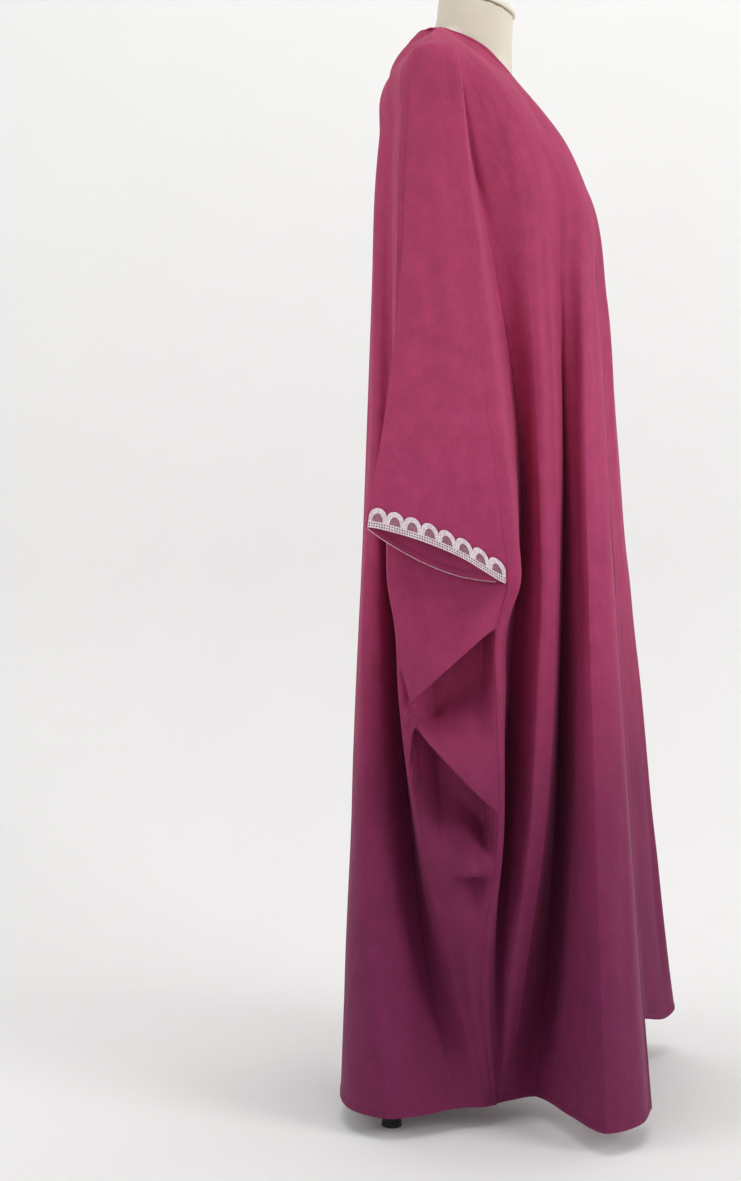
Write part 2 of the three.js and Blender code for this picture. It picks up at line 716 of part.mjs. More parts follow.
// Lace on the cuff. The strip follows the edge of the panel, LACE_GAP off its outer face.
function laceGeometry(half, part) {
  const slit = ROWS_HIGH.length;
  const fold = SEAM + SLEEVE;
  const columns = [];
  for (let k = 0; k <= SLEEVE; k += 1) columns.push(part === "front" ? SEAM + k : SEAM + 2 * SLEEVE - k);
  const edge = columns.map((c) => half.points[half.names[slit][c]]);
  const above = columns.map((c) => half.points[half.names[slit - 1][c]]);
  const normal = columns.map((c) => half.normals[half.names[slit][c]]);
  const normalAbove = columns.map((c) => half.normals[half.names[slit - 1][c]]);
  const lengths = [0];
  for (let i = 1; i < edge.length; i += 1) lengths.push(lengths[i - 1] + edge[i].distanceTo(edge[i - 1]));
  const total = lengths.at(-1);
  const from = total * LACE_START[part];
  const to = total * LACE_END;
  const pitch = (to - from) / LACE_SCALLOPS;
  const place = (s, t) => {
    const x = from + s * pitch;
    let i = 0;
    while (i < edge.length - 2 && x > lengths[i + 1]) i += 1;
    const w = (x - lengths[i]) / (lengths[i + 1] - lengths[i]);
    const low = edge[i].clone().lerp(edge[i + 1], w);
    const high = above[i].clone().lerp(above[i + 1], w);
    const rise = t / low.distanceTo(high);
    const n = normal[i].clone().lerp(normal[i + 1], w);
    const nHigh = normalAbove[i].clone().lerp(normalAbove[i + 1], w);
    return { point: low.lerp(high, rise), normal: n.lerp(nHigh, rise).normalize() };
  };
  const points = [];
  const normals = [];
  const seen = new Map();
  const vertex = (s, t) => {
    const key = s.toFixed(4) + "," + t.toFixed(3);
    if (!seen.has(key)) {
      const { point, normal: n } = place(s, t);
      seen.set(key, points.push(point) - 1);
      normals.push(n);
    }
    return seen.get(key);
  };
  const faces = [];
  const quad = (a, b, c, d) => faces.push([a, b, c], [a, c, d]);
  const arc = 6;
  for (let k = 0; k < LACE_SCALLOPS; k += 1) {
    const mid = k + 0.5;
    const outer = [];
    const hole = [];
    for (let j = 0; j <= arc; j += 1) {
      const angle = Math.PI * (1 - j / arc);
      const x = Math.cos(angle);
      const y = Math.sin(angle);
      outer.push([mid + 0.5 * x, LACE_NOTCH + (LACE_RISE - LACE_NOTCH) * y]);
      hole.push([mid + LACE_HOLE_HALF * x, LACE_BAND + (LACE_HOLE_TOP - LACE_BAND) * y]);
    }
    hole[0][1] = LACE_BAND;
    hole[arc][1] = LACE_BAND;
    for (let j = 0; j < arc; j += 1) {
      quad(vertex(...hole[j]), vertex(...hole[j + 1]), vertex(...outer[j + 1]), vertex(...outer[j]));
    }
    const stops = [k, mid - LACE_HOLE_HALF, mid + LACE_HOLE_HALF, k + 1];
    for (let j = 0; j < 3; j += 1) {
      const [a, b] = [stops[j], stops[j + 1]];
      quad(vertex(a, 0), vertex(b, 0), vertex(b, LACE_BAND), vertex(a, LACE_BAND));
    }
    const [left, right] = [vertex(k, LACE_BAND), vertex(k + 1, LACE_BAND)];
    faces.push([left, vertex(...hole[0]), vertex(...outer[0])]);
    faces.push([vertex(...hole[arc]), right, vertex(...outer[arc])]);
  }
  const probe = faces[0].map((i) => points[i]);
  const n = probe[1].clone().sub(probe[0]).cross(probe[2].clone().sub(probe[0]));
  const turned = n.dot(normals[faces[0][0]]) < 0 ? faces.map(([a, b, c]) => [a, c, b]) : faces;
  return wall(points, normals, turned, LACE_LIFT - LACE_THICK / 2, LACE_LIFT + LACE_THICK / 2);
}
for (const name of ["right", "left"]) {
  for (const part of ["front", "back"]) {
    add("lace_" + part + "_" + name, laceGeometry(halves[name], part), MATERIALS.lace);
  }
}

// Loft through closed rings with the same number of points, capped at both ends.
function loft(rings) {
  const steps = rings[0].length;
  const position = [];
  const index = [];
  for (const ring of rings) for (const p of ring) position.push(p.x, p.y, p.z);
  for (let r = 0; r < rings.length - 1; r += 1) {
    for (let i = 0; i < steps; i += 1) {
      const a = r * steps + i;
      const b = r * steps + ((i + 1) % steps);
      index.push(a, b, b + steps, a, b + steps, a + steps);
    }
  }
  for (const [ring, flip] of [[rings[0], true], [rings.at(-1), false]]) {
    const centre = ring.reduce((sum, p) => sum.add(p), new THREE.Vector3()).divideScalar(steps);
    const c = position.push(centre.x, centre.y, centre.z) / 3 - 1;
    const start = flip ? 0 : (rings.length - 1) * steps;
    for (let i = 0; i < steps; i += 1) {
      const a = start + i;
      const b = start + ((i + 1) % steps);
      index.push(...(flip ? [c, b, a] : [c, a, b]));
    }
  }
  return solid(position, index);
}

// Horizontal section of the form.
function formRing(section, slant) {
  const ring = [];
  const centre = (section.front + section.back) / 2;
  const depth = (section.front - section.back) / 2;
  for (let i = 0; i < FORM_STEPS; i += 1) {
    const angle = (2 * Math.PI * i) / FORM_STEPS;
    const c = Math.cos(angle);
    const s = Math.sin(angle);
    const x = section.half * Math.sign(c) * Math.abs(c) ** (2 / section.power);
    const y = -centre + depth * Math.sign(s) * Math.abs(s) ** (2 / section.power);
    ring.push(new THREE.Vector3(x, y, section.height + slant * y));
  }
  return ring;
}

// Section through the shoulders: round like the neck in the middle, straight from its side to the shoulder's tip.
function shoulderRing(section) {
  const ring = [];
  for (let i = 0; i < FORM_STEPS; i += 1) {
    const angle = (2 * Math.PI * i) / FORM_STEPS;
    const x = section.half * Math.cos(angle);
    const s = Math.sin(angle);
    const root = s > 0 ? section.rootBack : section.rootFront;
    const peak = s > 0 ? section.back : section.front;
    const out = Math.abs(x);
    let forward = root + (peak - root) * Math.sqrt(Math.max(0, 1 - (out / NECK_SIDE) ** 2));
    if (out > NECK_SIDE) forward = root + ((section.tip - root) * (out - NECK_SIDE)) / (section.half - NECK_SIDE);
    ring.push(new THREE.Vector3(x, -forward, section.height));
  }
  return ring;
}
const neck = { height: NECK_HEIGHT, half: NECK_HALF, front: NECK_FRONT, back: NECK_BACK, power: 2 };
const formRings = [...FORM, ...SHOULDER, ...NECK].map((section) => {
  return section.tip === undefined ? formRing(section, 0) : shoulderRing(section);
});
formRings.push(formRing(neck, NECK_SLANT));
add("form_body", loft(formRings), MATERIALS.form);

const cap = { half: NECK_HALF + 1.5, front: NECK_FRONT + 1.5, back: NECK_BACK - 1.5, power: 2 };
const dome = [
  { rise: FIT_GAP, inset: 0 },
  { rise: CAP_THICK - 3, inset: 0 },
  { rise: CAP_THICK - 1, inset: 3 },
  { rise: CAP_THICK, inset: 10 },
];
const capRings = dome.map(({ rise, inset }) => {
  const section = {
    height: NECK_HEIGHT + rise,
    half: cap.half - inset,
    front: cap.front - inset,
    back: cap.back + inset,
    power: 2,
  };
  return formRing(section, NECK_SLANT);
});
add("neck_cap", loft(capRings), MATERIALS.cap);

// Stand: a column under the form, a hub on it and three legs with feet.
function disc(radius, low, high, steps, chamfer, x = 0, y = 0) {
  const rings = [
    [radius - chamfer, low],
    [radius, low + chamfer],
    [radius, high - chamfer],
    [radius - chamfer, high],
  ].map(([r, z]) => {
    const ring = [];
    for (let i = 0; i < steps; i += 1) {
      const angle = (2 * Math.PI * i) / steps;
      ring.push(new THREE.Vector3(x + r * Math.cos(angle), y + r * Math.sin(angle), z));
    }
    return ring;
  });
  return loft(rings);
}
add("stand_column", disc(COLUMN_RADIUS, HUB_HIGH + FIT_GAP, FORM[0].height - FIT_GAP, 20, 1), MATERIALS.stand);
add("stand_hub", disc(HUB_RADIUS, HUB_LOW, HUB_HIGH, 24, 3), MATERIALS.stand);

const LEG = [
  { reach: HUB_RADIUS + FIT_GAP, height: 240, radius: 8.5 },
  { reach: 60, height: 222, radius: 8.2 },
  { reach: 120, height: 146, radius: 7.6 },
  { reach: 168, height: 74, radius: 7 },
  { reach: 190, height: 36, radius: 6.8 },
  { reach: FOOT_REACH, height: FOOT_HEIGHT + FIT_GAP, radius: 6.8 },
];
function legGeometry(angle) {
  const rings = LEG.map((stop, i) => {
    const before = LEG[Math.max(0, i - 1)];
    const after = LEG[Math.min(LEG.length - 1, i + 1)];
    const way = new THREE.Vector2(after.reach - before.reach, after.height - before.height).normalize();
    if (i === 0) way.set(1, 0);
    if (i === LEG.length - 1) way.set(0, -1);
    const ring = [];
    for (let k = 0; k < 10; k += 1) {
      const turn = (2 * Math.PI * k) / 10;
      const across = stop.radius * Math.cos(turn);
      const up = stop.radius * Math.sin(turn);
      const reach = stop.reach - way.y * up;
      const x = reach * Math.cos(angle) - across * Math.sin(angle);
      const y = reach * Math.sin(angle) + across * Math.cos(angle);
      ring.push(new THREE.Vector3(x, y, stop.height + way.x * up));
    }
    return ring;
  });
  return loft(rings);
}
for (let i = 0; i < 3; i += 1) {
  // The angle is measured from the wearer's front towards the wearer's right.
  const turn = THREE.MathUtils.degToRad(FOOT_TURN + 120 * i);
  const angle = Math.atan2(-Math.cos(turn), -Math.sin(turn));
  const x = FOOT_REACH * Math.cos(angle);
  const y = FOOT_REACH * Math.sin(angle);
  add("stand_leg_" + (i + 1), legGeometry(angle), MATERIALS.stand);
  add("stand_foot_" + (i + 1), disc(FOOT_RADIUS, 0, FOOT_HEIGHT, 16, 2, x, y), MATERIALS.stand);
}

// The origin is under the middle of the whole, on the floor.
const bounds = new THREE.Box3().setFromObject(group, true);
group.position.set(-(bounds.min.x + bounds.max.x) / 2, -(bounds.min.y + bounds.max.y) / 2, 0);

export default group;
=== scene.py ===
import math

import bmesh
import bpy
import numpy as np
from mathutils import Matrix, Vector


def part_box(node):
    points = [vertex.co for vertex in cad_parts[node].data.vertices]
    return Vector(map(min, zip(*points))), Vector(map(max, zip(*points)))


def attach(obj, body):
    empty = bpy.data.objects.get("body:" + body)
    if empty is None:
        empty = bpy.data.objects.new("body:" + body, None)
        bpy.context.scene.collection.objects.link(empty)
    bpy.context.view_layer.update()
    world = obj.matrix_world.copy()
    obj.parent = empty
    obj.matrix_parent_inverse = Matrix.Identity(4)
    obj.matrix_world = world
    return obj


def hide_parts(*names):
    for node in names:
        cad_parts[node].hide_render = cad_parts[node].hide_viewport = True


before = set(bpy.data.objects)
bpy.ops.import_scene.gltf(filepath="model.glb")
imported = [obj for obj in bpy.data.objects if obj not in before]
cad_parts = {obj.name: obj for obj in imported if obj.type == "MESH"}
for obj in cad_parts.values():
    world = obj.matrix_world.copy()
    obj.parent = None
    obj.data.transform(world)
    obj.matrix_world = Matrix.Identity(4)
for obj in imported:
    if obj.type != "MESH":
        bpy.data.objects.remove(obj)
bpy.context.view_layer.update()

# Stand. A steel tube goes up into the form from a turned hub, and three bent tube legs spread from the hub.
# All of it is powder coated black, and a rubber shoe is pushed over the end of each leg.

low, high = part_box("stand_column")
AXIS = (low + high) / 2          # form and garment hang round this upright line
COLUMN_RADIUS = 12.5
COLUMN_HEIGHTS = (262.3, 761.7)
HUB_RADIUS = 26
HUB_HEIGHTS = (214, 262)
LEG_PATH = [                     # how far out, how high, and the tube's radius there, in mm
    (26.3, 240, 8.5), (40, 238, 8.5), (60, 222, 8.2), (92, 184, 7.9), (120, 146, 7.6), (146, 109, 7.3),
    (168, 74, 7.0), (182, 50, 6.9), (190, 36, 6.8), (192.5, 27, 6.8), (193, 20.3, 6.8),
]
LEG_TURNS = (122, 242, 362)      # degrees from the wearer's front towards the wearer's right
FOOT_REACH = 193


def linear(hex_colour):
    """An sRGB colour such as #a04060 as the linear colour that Blender's sockets take."""
    parts = [int(hex_colour[i:i + 2], 16) / 255 for i in (1, 3, 5)]
    return (*[c / 12.92 if c <= 0.04045 else ((c + 0.055) / 1.055) ** 2.4 for c in parts], 1)


def put(tree, kind, sockets=None, **settings):
    """Adds a node. Each socket gets a number, a colour or another node's output."""
    made = tree.nodes.new(kind)
    for name, value in settings.items():
        setattr(made, name, value)
    for name, value in (sockets or {}).items():
        if isinstance(value, bpy.types.NodeSocket):
            tree.links.new(value, made.inputs[name])
        else:
            made.inputs[name].default_value = value
    return made


def new_material(name):
    """A material with an empty tree, and the piece's own coordinates as its first output."""
    material = bpy.data.materials.new(name)
    material.use_nodes = True
    tree = material.node_tree
    tree.nodes.clear()
    return material, tree, put(tree, "ShaderNodeTexCoord").outputs["Object"]


def noise(tree, place, scale, detail=2, **more):
    sockets = {"Vector": place, "Scale": scale, "Detail": detail, **more}
    return put(tree, "ShaderNodeTexNoise", sockets).outputs["Fac"]


def ranged(tree, value, to_low=0.0, to_high=1.0, low=0.0, high=1.0):
    """A value between low and high, as one between to_low and to_high."""
    sockets = {"Value": value, "From Min": low, "From Max": high, "To Min": to_low, "To Max": to_high}
    return put(tree, "ShaderNodeMapRange", sockets).outputs["Result"]


def mixed(tree, share, a, b, **settings):
    """Two colours, each an sRGB hex or another node's output."""
    a, b = [linear(c) if isinstance(c, str) else c for c in (a, b)]
    return put(tree, "ShaderNodeMix", {"Factor": share, "A": a, "B": b}, data_type="RGBA", **settings).outputs["Result"]


def added(tree, a, b):
    return put(tree, "ShaderNodeMath", {0: a, 1: b}, operation="ADD").outputs["Value"]


def bumped(tree, height, strength, distance, **more):
    sockets = {"Height": height, "Strength": strength, "Distance": distance, **more}
    return put(tree, "ShaderNodeBump", sockets).outputs["Normal"]


def principled(tree, colour, roughness, **more):
    shader = put(tree, "ShaderNodeBsdfPrincipled", {"Base Color": colour, "Roughness": roughness, **more})
    return shader.outputs["BSDF"]


def shown(tree, face):
    put(tree, "ShaderNodeOutputMaterial", {"Surface": face})


# Powder-coated mild steel: baked polyester powder gives a satin black with a faint orange peel about 1.5 mm wide.
powder_coat, tree, place = new_material("powder_coated_steel")
peel, wear = noise(tree, place, 650), noise(tree, place, 24, 4)
shown(tree, principled(tree, mixed(tree, wear, "#141416", "#232326"), ranged(tree, wear, 0.36, 0.52),
                       Normal=bumped(tree, peel, 0.12, 0.0004), IOR=1.5))

# Moulded rubber: matte, a little grey from dust, with fine mould grain.
rubber, tree, place = new_material("moulded_rubber")
grain, dust = noise(tree, place, 900, 3), noise(tree, place, 60, 3)
shown(tree, principled(tree, mixed(tree, dust, "#18181a", "#2b2b2c"), 0.8,
                       Normal=bumped(tree, grain, 0.3, 0.0003), IOR=1.52))


def choose(*pieces):
    """Selects these pieces alone; the last is the active one."""
    bpy.ops.object.select_all(action="DESELECT")
    for obj in pieces:
        obj.select_set(True)
        bpy.context.view_layer.objects.active = obj


def drawn_up(name, rings):
    """A circle drawn up ring by ring: it is extruded once for each further ring, whose points are then put in place."""
    bpy.ops.object.select_all(action="DESELECT")
    bpy.ops.mesh.primitive_circle_add(vertices=len(rings[0]), radius=0.01, location=(0, 0, 0))
    obj = bpy.context.object
    obj.name = obj.data.name = name
    bpy.ops.object.mode_set(mode="EDIT")
    bpy.ops.mesh.select_all(action="SELECT")
    before = None
    for ring in rings:
        ring = np.asarray(ring, float)
        if before is not None:
            bpy.ops.mesh.extrude_edges_move()
        mesh = bmesh.from_edit_mesh(obj.data)
        chosen = [v for v in mesh.verts if v.select]
        if before is None:
            chosen.sort(key=lambda v: math.atan2(v.co.y, v.co.x) % (2 * math.pi))
            for v, p in zip(chosen, ring):
                v.co = p
        else:
            for v in chosen:
                v.co = ring[np.argmin(((before - np.array(v.co)) ** 2).sum(1))]
        bmesh.update_edit_mesh(obj.data)
        before = ring
    bpy.ops.mesh.select_all(action="DESELECT")
    bpy.ops.mesh.select_mode(type="EDGE")
    bpy.ops.mesh.select_non_manifold(extend=False)
    bpy.ops.mesh.edge_face_add()
    bpy.ops.mesh.select_all(action="SELECT")
    bpy.ops.mesh.normals_make_consistent(inside=False)
    bpy.ops.object.mode_set(mode="OBJECT")
    return obj


def finished(obj, *modifiers, angle=40):
    """Adds each modifier, applies it, and smooths the shading."""
    bpy.ops.object.mode_set(mode="OBJECT")
    choose(obj)
    for kind, settings in modifiers:
        step = obj.modifiers.new(kind.lower(), kind)
        for name, value in settings.items():
            setattr(step, name, value)
        bpy.ops.object.modifier_apply(modifier=step.name)
    bpy.ops.object.shade_smooth_by_angle(angle=math.radians(angle))
    obj.select_set(False)
    return obj


def dressed(obj, material, slot, *nodes):
    """Gives a piece its material and its place in the frame."""
    obj.data.materials.clear()
    obj.data.materials.append(material)
    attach(obj, "root")
    if nodes:
        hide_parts(*nodes)
    return obj


def round_ring(radius, height, steps, x=0.0, y=0.0):
    """Level ring of points, sizes in mm, round the axis or round a point of its own."""
    turns = [2 * math.pi * i / steps for i in range(steps)]
    return [(AXIS.x + (x + radius * math.cos(a)) / 1000, AXIS.y + (y + radius * math.sin(a)) / 1000, height / 1000)
            for a in turns]


start, end = COLUMN_HEIGHTS
profile = [(COLUMN_RADIUS - 1, start), (COLUMN_RADIUS, start + 1), (COLUMN_RADIUS, start + 20),
           (COLUMN_RADIUS - 1, start + 21), (COLUMN_RADIUS - 1, end - 1), (COLUMN_RADIUS - 2, end)]
column = drawn_up("column", [round_ring(r, z, 40) for r, z in profile])
dressed(finished(column, angle=30), powder_coat, "stand_black", "stand_column")

start, end = HUB_HEIGHTS
profile = [(HUB_RADIUS - 5, start), (HUB_RADIUS - 2, start + 1), (HUB_RADIUS, start + 4), (HUB_RADIUS, start + 14),
           (HUB_RADIUS - 1.5, start + 16), (HUB_RADIUS - 1.5, end - 12), (HUB_RADIUS, end - 10),
           (HUB_RADIUS, end - 3), (HUB_RADIUS - 3, end), (COLUMN_RADIUS + 2, end)]
hub = drawn_up("hub", [round_ring(r, z, 48) for r, z in profile])
dressed(finished(hub, angle=30), powder_coat, "stand_black", "stand_hub")

for count, degrees in enumerate(LEG_TURNS, start=1):
    turn = math.radians(degrees)
    away = Vector((-math.sin(turn), -math.cos(turn), 0))
    across = Vector((-away.y, away.x, 0))
    rings = []
    for i, (reach, height, radius) in enumerate(LEG_PATH):
        a, b = LEG_PATH[max(0, i - 1)], LEG_PATH[min(len(LEG_PATH) - 1, i + 1)]
        way = Vector((b[0] - a[0], b[1] - a[1])).normalized()
        if i == 0:
            way = Vector((1, 0))
        if i == len(LEG_PATH) - 1:
            way = Vector((0, -1))
        ring = []
        for k in range(20):
            a = 2 * math.pi * k / 20
            side, up = radius * math.cos(a), radius * math.sin(a)
            p = away * (reach - way.y * up) + across * side
            ring.append((AXIS.x + p.x / 1000, AXIS.y + p.y / 1000, (height + way.x * up) / 1000))
        rings.append(ring)
    leg = drawn_up(f"leg_{count}", rings)
    dressed(finished(leg, angle=50), powder_coat, "stand_black", f"stand_leg_{count}")

    x, y = away.x * FOOT_REACH, away.y * FOOT_REACH
    shoe_profile = [(10.5, 0), (12.6, 0.6), (13, 2.2), (13, 6.5), (12.3, 7.2), (12.3, 8.6), (13, 9.3), (12.6, 15.5),
                    (11.4, 18.6), (9.4, 20)]
    shoe = drawn_up(f"shoe_{count}", [round_ring(r, z, 32, x, y) for r, z in shoe_profile])
    dressed(finished(shoe, angle=35), rubber, "foot_rubber", f"stand_foot_{count}")

# Dress form. A moulded shell without arms or head, covered with a tight ivory jersey from hip to neck.
# The jersey is pulled over the shell and tucked in under the cap of the neck.

# Level sections: half width, reach forward and back of the axis, and how square the section is.
TORSO = [
    (762, 112, 66, -76, 2.1), (766, 120, 73, -84, 2.1), (772, 124, 76, -88, 2.1), (800, 129, 80, -93, 2.1),
    (850, 132, 82, -96, 2.1), (930, 126, 78, -88, 2.1), (985, 113, 72.5, -79, 2.1), (1040, 106, 70, -74, 2.1),
    (1080, 109.5, 75, -76, 2.1), (1120, 118, 84, -82, 2.1), (1160, 127.5, 93, -87.5, 2.1), (1200, 136, 98, -92, 2.1),
    (1225, 138.6, 96.6, -95, 2.1), (1250, 140, 92, -97, 2.1), (1300, 142, 74, -98, 2.0), (1350, 148, 50, -94, 1.9),
    (1385, 153, 28, -90, 1.7),
]
# Through the shoulders: half width, forward place of the tip, root at the neck's side, reach forward and back.
SHOULDERS = [
    (1402, 158, -46, 30, -92, 46, -97), (1414.6, 156.5, -51.2, 14, -80, 47, -86),
    (1424.6, 139.8, -49.5, -11, -70, 47, -78), (1434.6, 118, -47.3, -20, -63, 47, -72),
    (1443.6, 93, -44.7, -42, -49.2, 47, -68), (1450, 66, -42.3, -40.5, -44.5, 47, -67),
    (1454, 57, -41, -30, -44, 46, -66),
]
NECK = [(1395, 51, 47, -66, 2), (1450, 51, 47, -65, 2), (1466, 50.6, 47.6, -62, 2), (1480, 51, 48, -58, 2)]
NECK_SIDE = 48
NECK_TOP = (1499, 51, 50, -55)
NECK_SLANT = 0.28                # the neck's top falls towards the front
FORM_STEPS = 120


def form_ring(height, half, front, back, power=2.0, slant=0.0):
    ring = []
    for i in range(FORM_STEPS):
        c, s = math.cos(2 * math.pi * i / FORM_STEPS), math.sin(2 * math.pi * i / FORM_STEPS)
        x = half * math.copysign(abs(c) ** (2 / power), c)
        y = -(front + back) / 2 + (front - back) / 2 * math.copysign(abs(s) ** (2 / power), s)
        ring.append((AXIS.x + x / 1000, AXIS.y + y / 1000, (height + slant * y) / 1000))
    return ring


def shoulder_ring(height, half, tip, root_front, root_back, front, back):
    ring = []
    for i in range(FORM_STEPS):
        x = half * math.cos(2 * math.pi * i / FORM_STEPS)
        rear = math.sin(2 * math.pi * i / FORM_STEPS) > 0
        root, peak = (root_back, back) if rear else (root_front, front)
        if abs(x) > NECK_SIDE:
            forward = root + (tip - root) * (abs(x) - NECK_SIDE) / (half - NECK_SIDE)
        else:
            forward = root + (peak - root) * math.sqrt(1 - (x / NECK_SIDE) ** 2)
        ring.append((AXIS.x + x / 1000, AXIS.y - forward / 1000, height / 1000))
    return ring


form = drawn_up("dress_form", [form_ring(*row) for row in TORSO] + [shoulder_ring(*row) for row in SHOULDERS])
throat = drawn_up("throat", [form_ring(*row) for row in NECK] + [form_ring(*NECK_TOP, slant=NECK_SLANT)])
choose(throat, form)
bpy.ops.object.join()
one_skin = ("REMESH", dict(mode="VOXEL", voxel_size=0.004)), ("SMOOTH", dict(factor=0.5, iterations=8))

# Ivory cotton jersey over a shell: a fine knit whose wales run up and down, drawn 4 mm apart, where the real ones
# are under 1 mm, so that they show. It gives a soft matte ivory, a little darker where the knit is stretched.
jersey, tree, place = new_material("cotton_jersey")
wales = put(tree, "ShaderNodeTexWave", {"Vector": place, "Scale": 80, "Distortion": 1.5, "Detail": 2,
                                        "Detail Scale": 3}, bands_direction="X").outputs["Fac"]
knit, cloud = noise(tree, place, 700), noise(tree, place, 9, 3)
relief = bumped(tree, added(tree, wales, knit), 0.1, 0.0004)
shown(tree, principled(tree, mixed(tree, cloud, "#ddd3bd", "#ece5d6"), 0.82, Normal=relief,
                       **{"Sheen Weight": 0.12, "Sheen Roughness": 0.5}))
dressed(finished(form, *one_skin, angle=60), jersey, "form_linen", "form_body")

# Cap of the neck. A shallow turned lid, painted ivory, that is pressed into the neck of the shell.

CAP_SIZES = (52.5, 51.5, -56.5)
CAP_PROFILE = [(0.3, 1.2), (1.4, 0), (6.0, 0), (7.4, 1.0), (8.2, 3), (8.8, 7), (9.0, 14), (9.1, 30)]   # rise and inset

half, front, back = CAP_SIZES
rings = [form_ring(NECK_TOP[0] + rise, half - inset, front - inset, back + inset, 2.0, NECK_SLANT)
         for rise, inset in CAP_PROFILE]
cap = drawn_up("neck_lid", rings)

# Painted beech: sprayed satin enamel that fills the grain, so that only a faint brush of the lathe is left.
enamel, tree, place = new_material("satin_enamel")
grain = noise(tree, place, 180, 3)
shown(tree, principled(tree, mixed(tree, grain, "#e6dfcf", "#f0eadd"), 0.42,
                       Normal=bumped(tree, grain, 0.06, 0.0004), IOR=1.5))
dressed(finished(cap, angle=35), enamel, "cap", "neck_cap")

# Fronts and back. Three panels of polyester crepe, raspberry at the shoulders and running to plum at the hem: partly a
# dye ombre, partly painted shade for the light falling off towards the hem.
# They are joined along the shoulders and down the sides below the sleeves, and every free edge has a narrow hem.

CLOTH_THICK = 1.1                # mm; hems have double
HEM_WIDTH = 7.5
HEM_HEIGHT = 28
SLIT_HEIGHT = 703                # the sleeves are open down to here
SEAM_HALF_GAP = 0.2

# Shoulder line from the middle of the back neck to the shoulder tip: out, forward, height.
RIDGE = np.array([
    (0, -84, 1455), (42, -76, 1457), (60, -60, 1456), (66, -42, 1452), (90, -44.4, 1446), (118, -47.3, 1436),
    (140, -49.5, 1426), (160, -51.6, 1414), (184, -54, 1395),
], float)

# Fold lines, from the shoulder line down through these heights, as "forward" and "out" of the axis.
LEVELS = np.array([1450, 1385, 1300, 1250, 1100, 900, 760, 703, 650, 560, 380, 200, 28], float)
# Close levels by the neckline: height, forward and out.
NECK_EDGE = [(1443.5, -18, 64), (1431, 7, 60), (1410, 31, 51)]
NECK_BESIDE = [(1441, -28, 72), (1429, -6, 70), (1408, 22, 63)]
NECK_CREST = [(1436, -28, 82), (1412, 4, 78)]
FRONT_FOLDS = [
    dict(fold="front edge", ridge=66, neck=NECK_EDGE,
         forward=[53, 122, 145, 159, 172, 181, 185, 188, 194, 206, 218, 231],
         out=[42, 18, 2.2, 15, 41, 57, 65, 70, 79, 101, 119, 140]),
    dict(fold="beside the edge", ridge=72, neck=NECK_BESIDE,
         forward=[48, 117, 143, 160, 171, 178, 181, 183, 188, 198, 206, 214],
         out=[56, 36, 28, 46, 75, 97, 105, 113, 128, 155, 185, 213]),
    dict(fold="front crest", crisp=0.3, ridge=80, neck=NECK_CREST,
         forward=[40, 104, 131, 141, 146, 149, 151, 152, 155, 160, 166, 172],
         out=[72, 60, 56, 80, 112, 133, 141, 149, 162, 192, 225, 254]),
    dict(fold="flank of the valley", ridge=92, forward=[33, 92, 115, 121, 125, 129, 130, 131, 132, 132, 131, 128],
         out=[90, 79, 74, 80, 92, 103, 108, 113, 122, 142, 162, 185]),
    dict(fold="front valley", crisp=0.5, ridge=104, forward=[24, 82, 103, 113, 118, 118, 117, 116, 113, 108, 98, 82],
         out=[106, 94, 86, 81, 74, 68, 66, 65, 64, 66, 78, 106]),
    dict(fold="strip, front side", crisp=0.95, ridge=118, forward=[14, 66, 84, 98, 108, 109, 109, 108, 106, 95, 70, 47],
         out=[124, 114, 112, 121, 143, 149, 151, 153, 156, 161, 157, 128]),
    dict(fold="strip, crest", crisp=0.3, ridge=130, forward=[-2, 42, 57, 72, 85, 90, 91, 90, 86, 76, 54, 39],
         out=[138, 131, 130, 139, 153, 160, 163, 165, 169, 173, 164, 136]),
    dict(fold="valley by the sleeve", crisp=0.85, ridge=146, forward=[-24, -4, 4, 32, 60, 62, 58, 53, 47, 36, 33, 33],
         out=[160, 151, 148, 138, 118, 106, 104, 102, 102, 116, 142, 143]),
    dict(fold="front fold of the sleeve", crisp=0.45, ridge=158,
         forward=[-20, -6, -2, 18, 43, 60, 64, 43, 42, 43, 24, 31],
         out=[192, 206, 209, 216, 223, 225, 222, 204, 200, 193, 172, 150]),
    dict(fold="side seam", ridge=166, forward=[-32, -20, -17, 3, 28, 46, 51, 36, 35, 36, 14, 28],
         out=[195, 208, 211, 219, 226, 228, 224, 207, 204, 196, 173, 152]),
]
SLEEVE_NEAR = [
    dict(fold="near layer, front", ridge=173, cuff=737, forward=[-46, -39, -37, -27, -17, -10, -8],
         out=[195, 209, 213, 222, 231, 236, 236]),
    dict(fold="near layer, rear", ridge=179, cuff=760, forward=[-60, -58, -58, -57, -62, -66, -68],
         out=[192, 205, 210, 219, 228, 234, 235]),
    dict(fold="shoulder fold", ridge=184, cuff=775, forward=[-72, -76, -78, -85, -107, -130, -136],
         out=[186, 197, 203, 210, 219, 226, 226]),
]
SLEEVE_REAR = [
    dict(fold="rear layer, rear", ridge=177, cuff=736, forward=[-67, -60, -58, -56, -62, -68, -72],
         out=[182, 194, 198, 204, 209, 211, 211]),
    dict(fold="rear layer, front", ridge=170, cuff=712, forward=[-62, -46, -40, -26, -18, -12, -10],
         out=[180, 192, 196, 201, 205, 207, 207]),
]
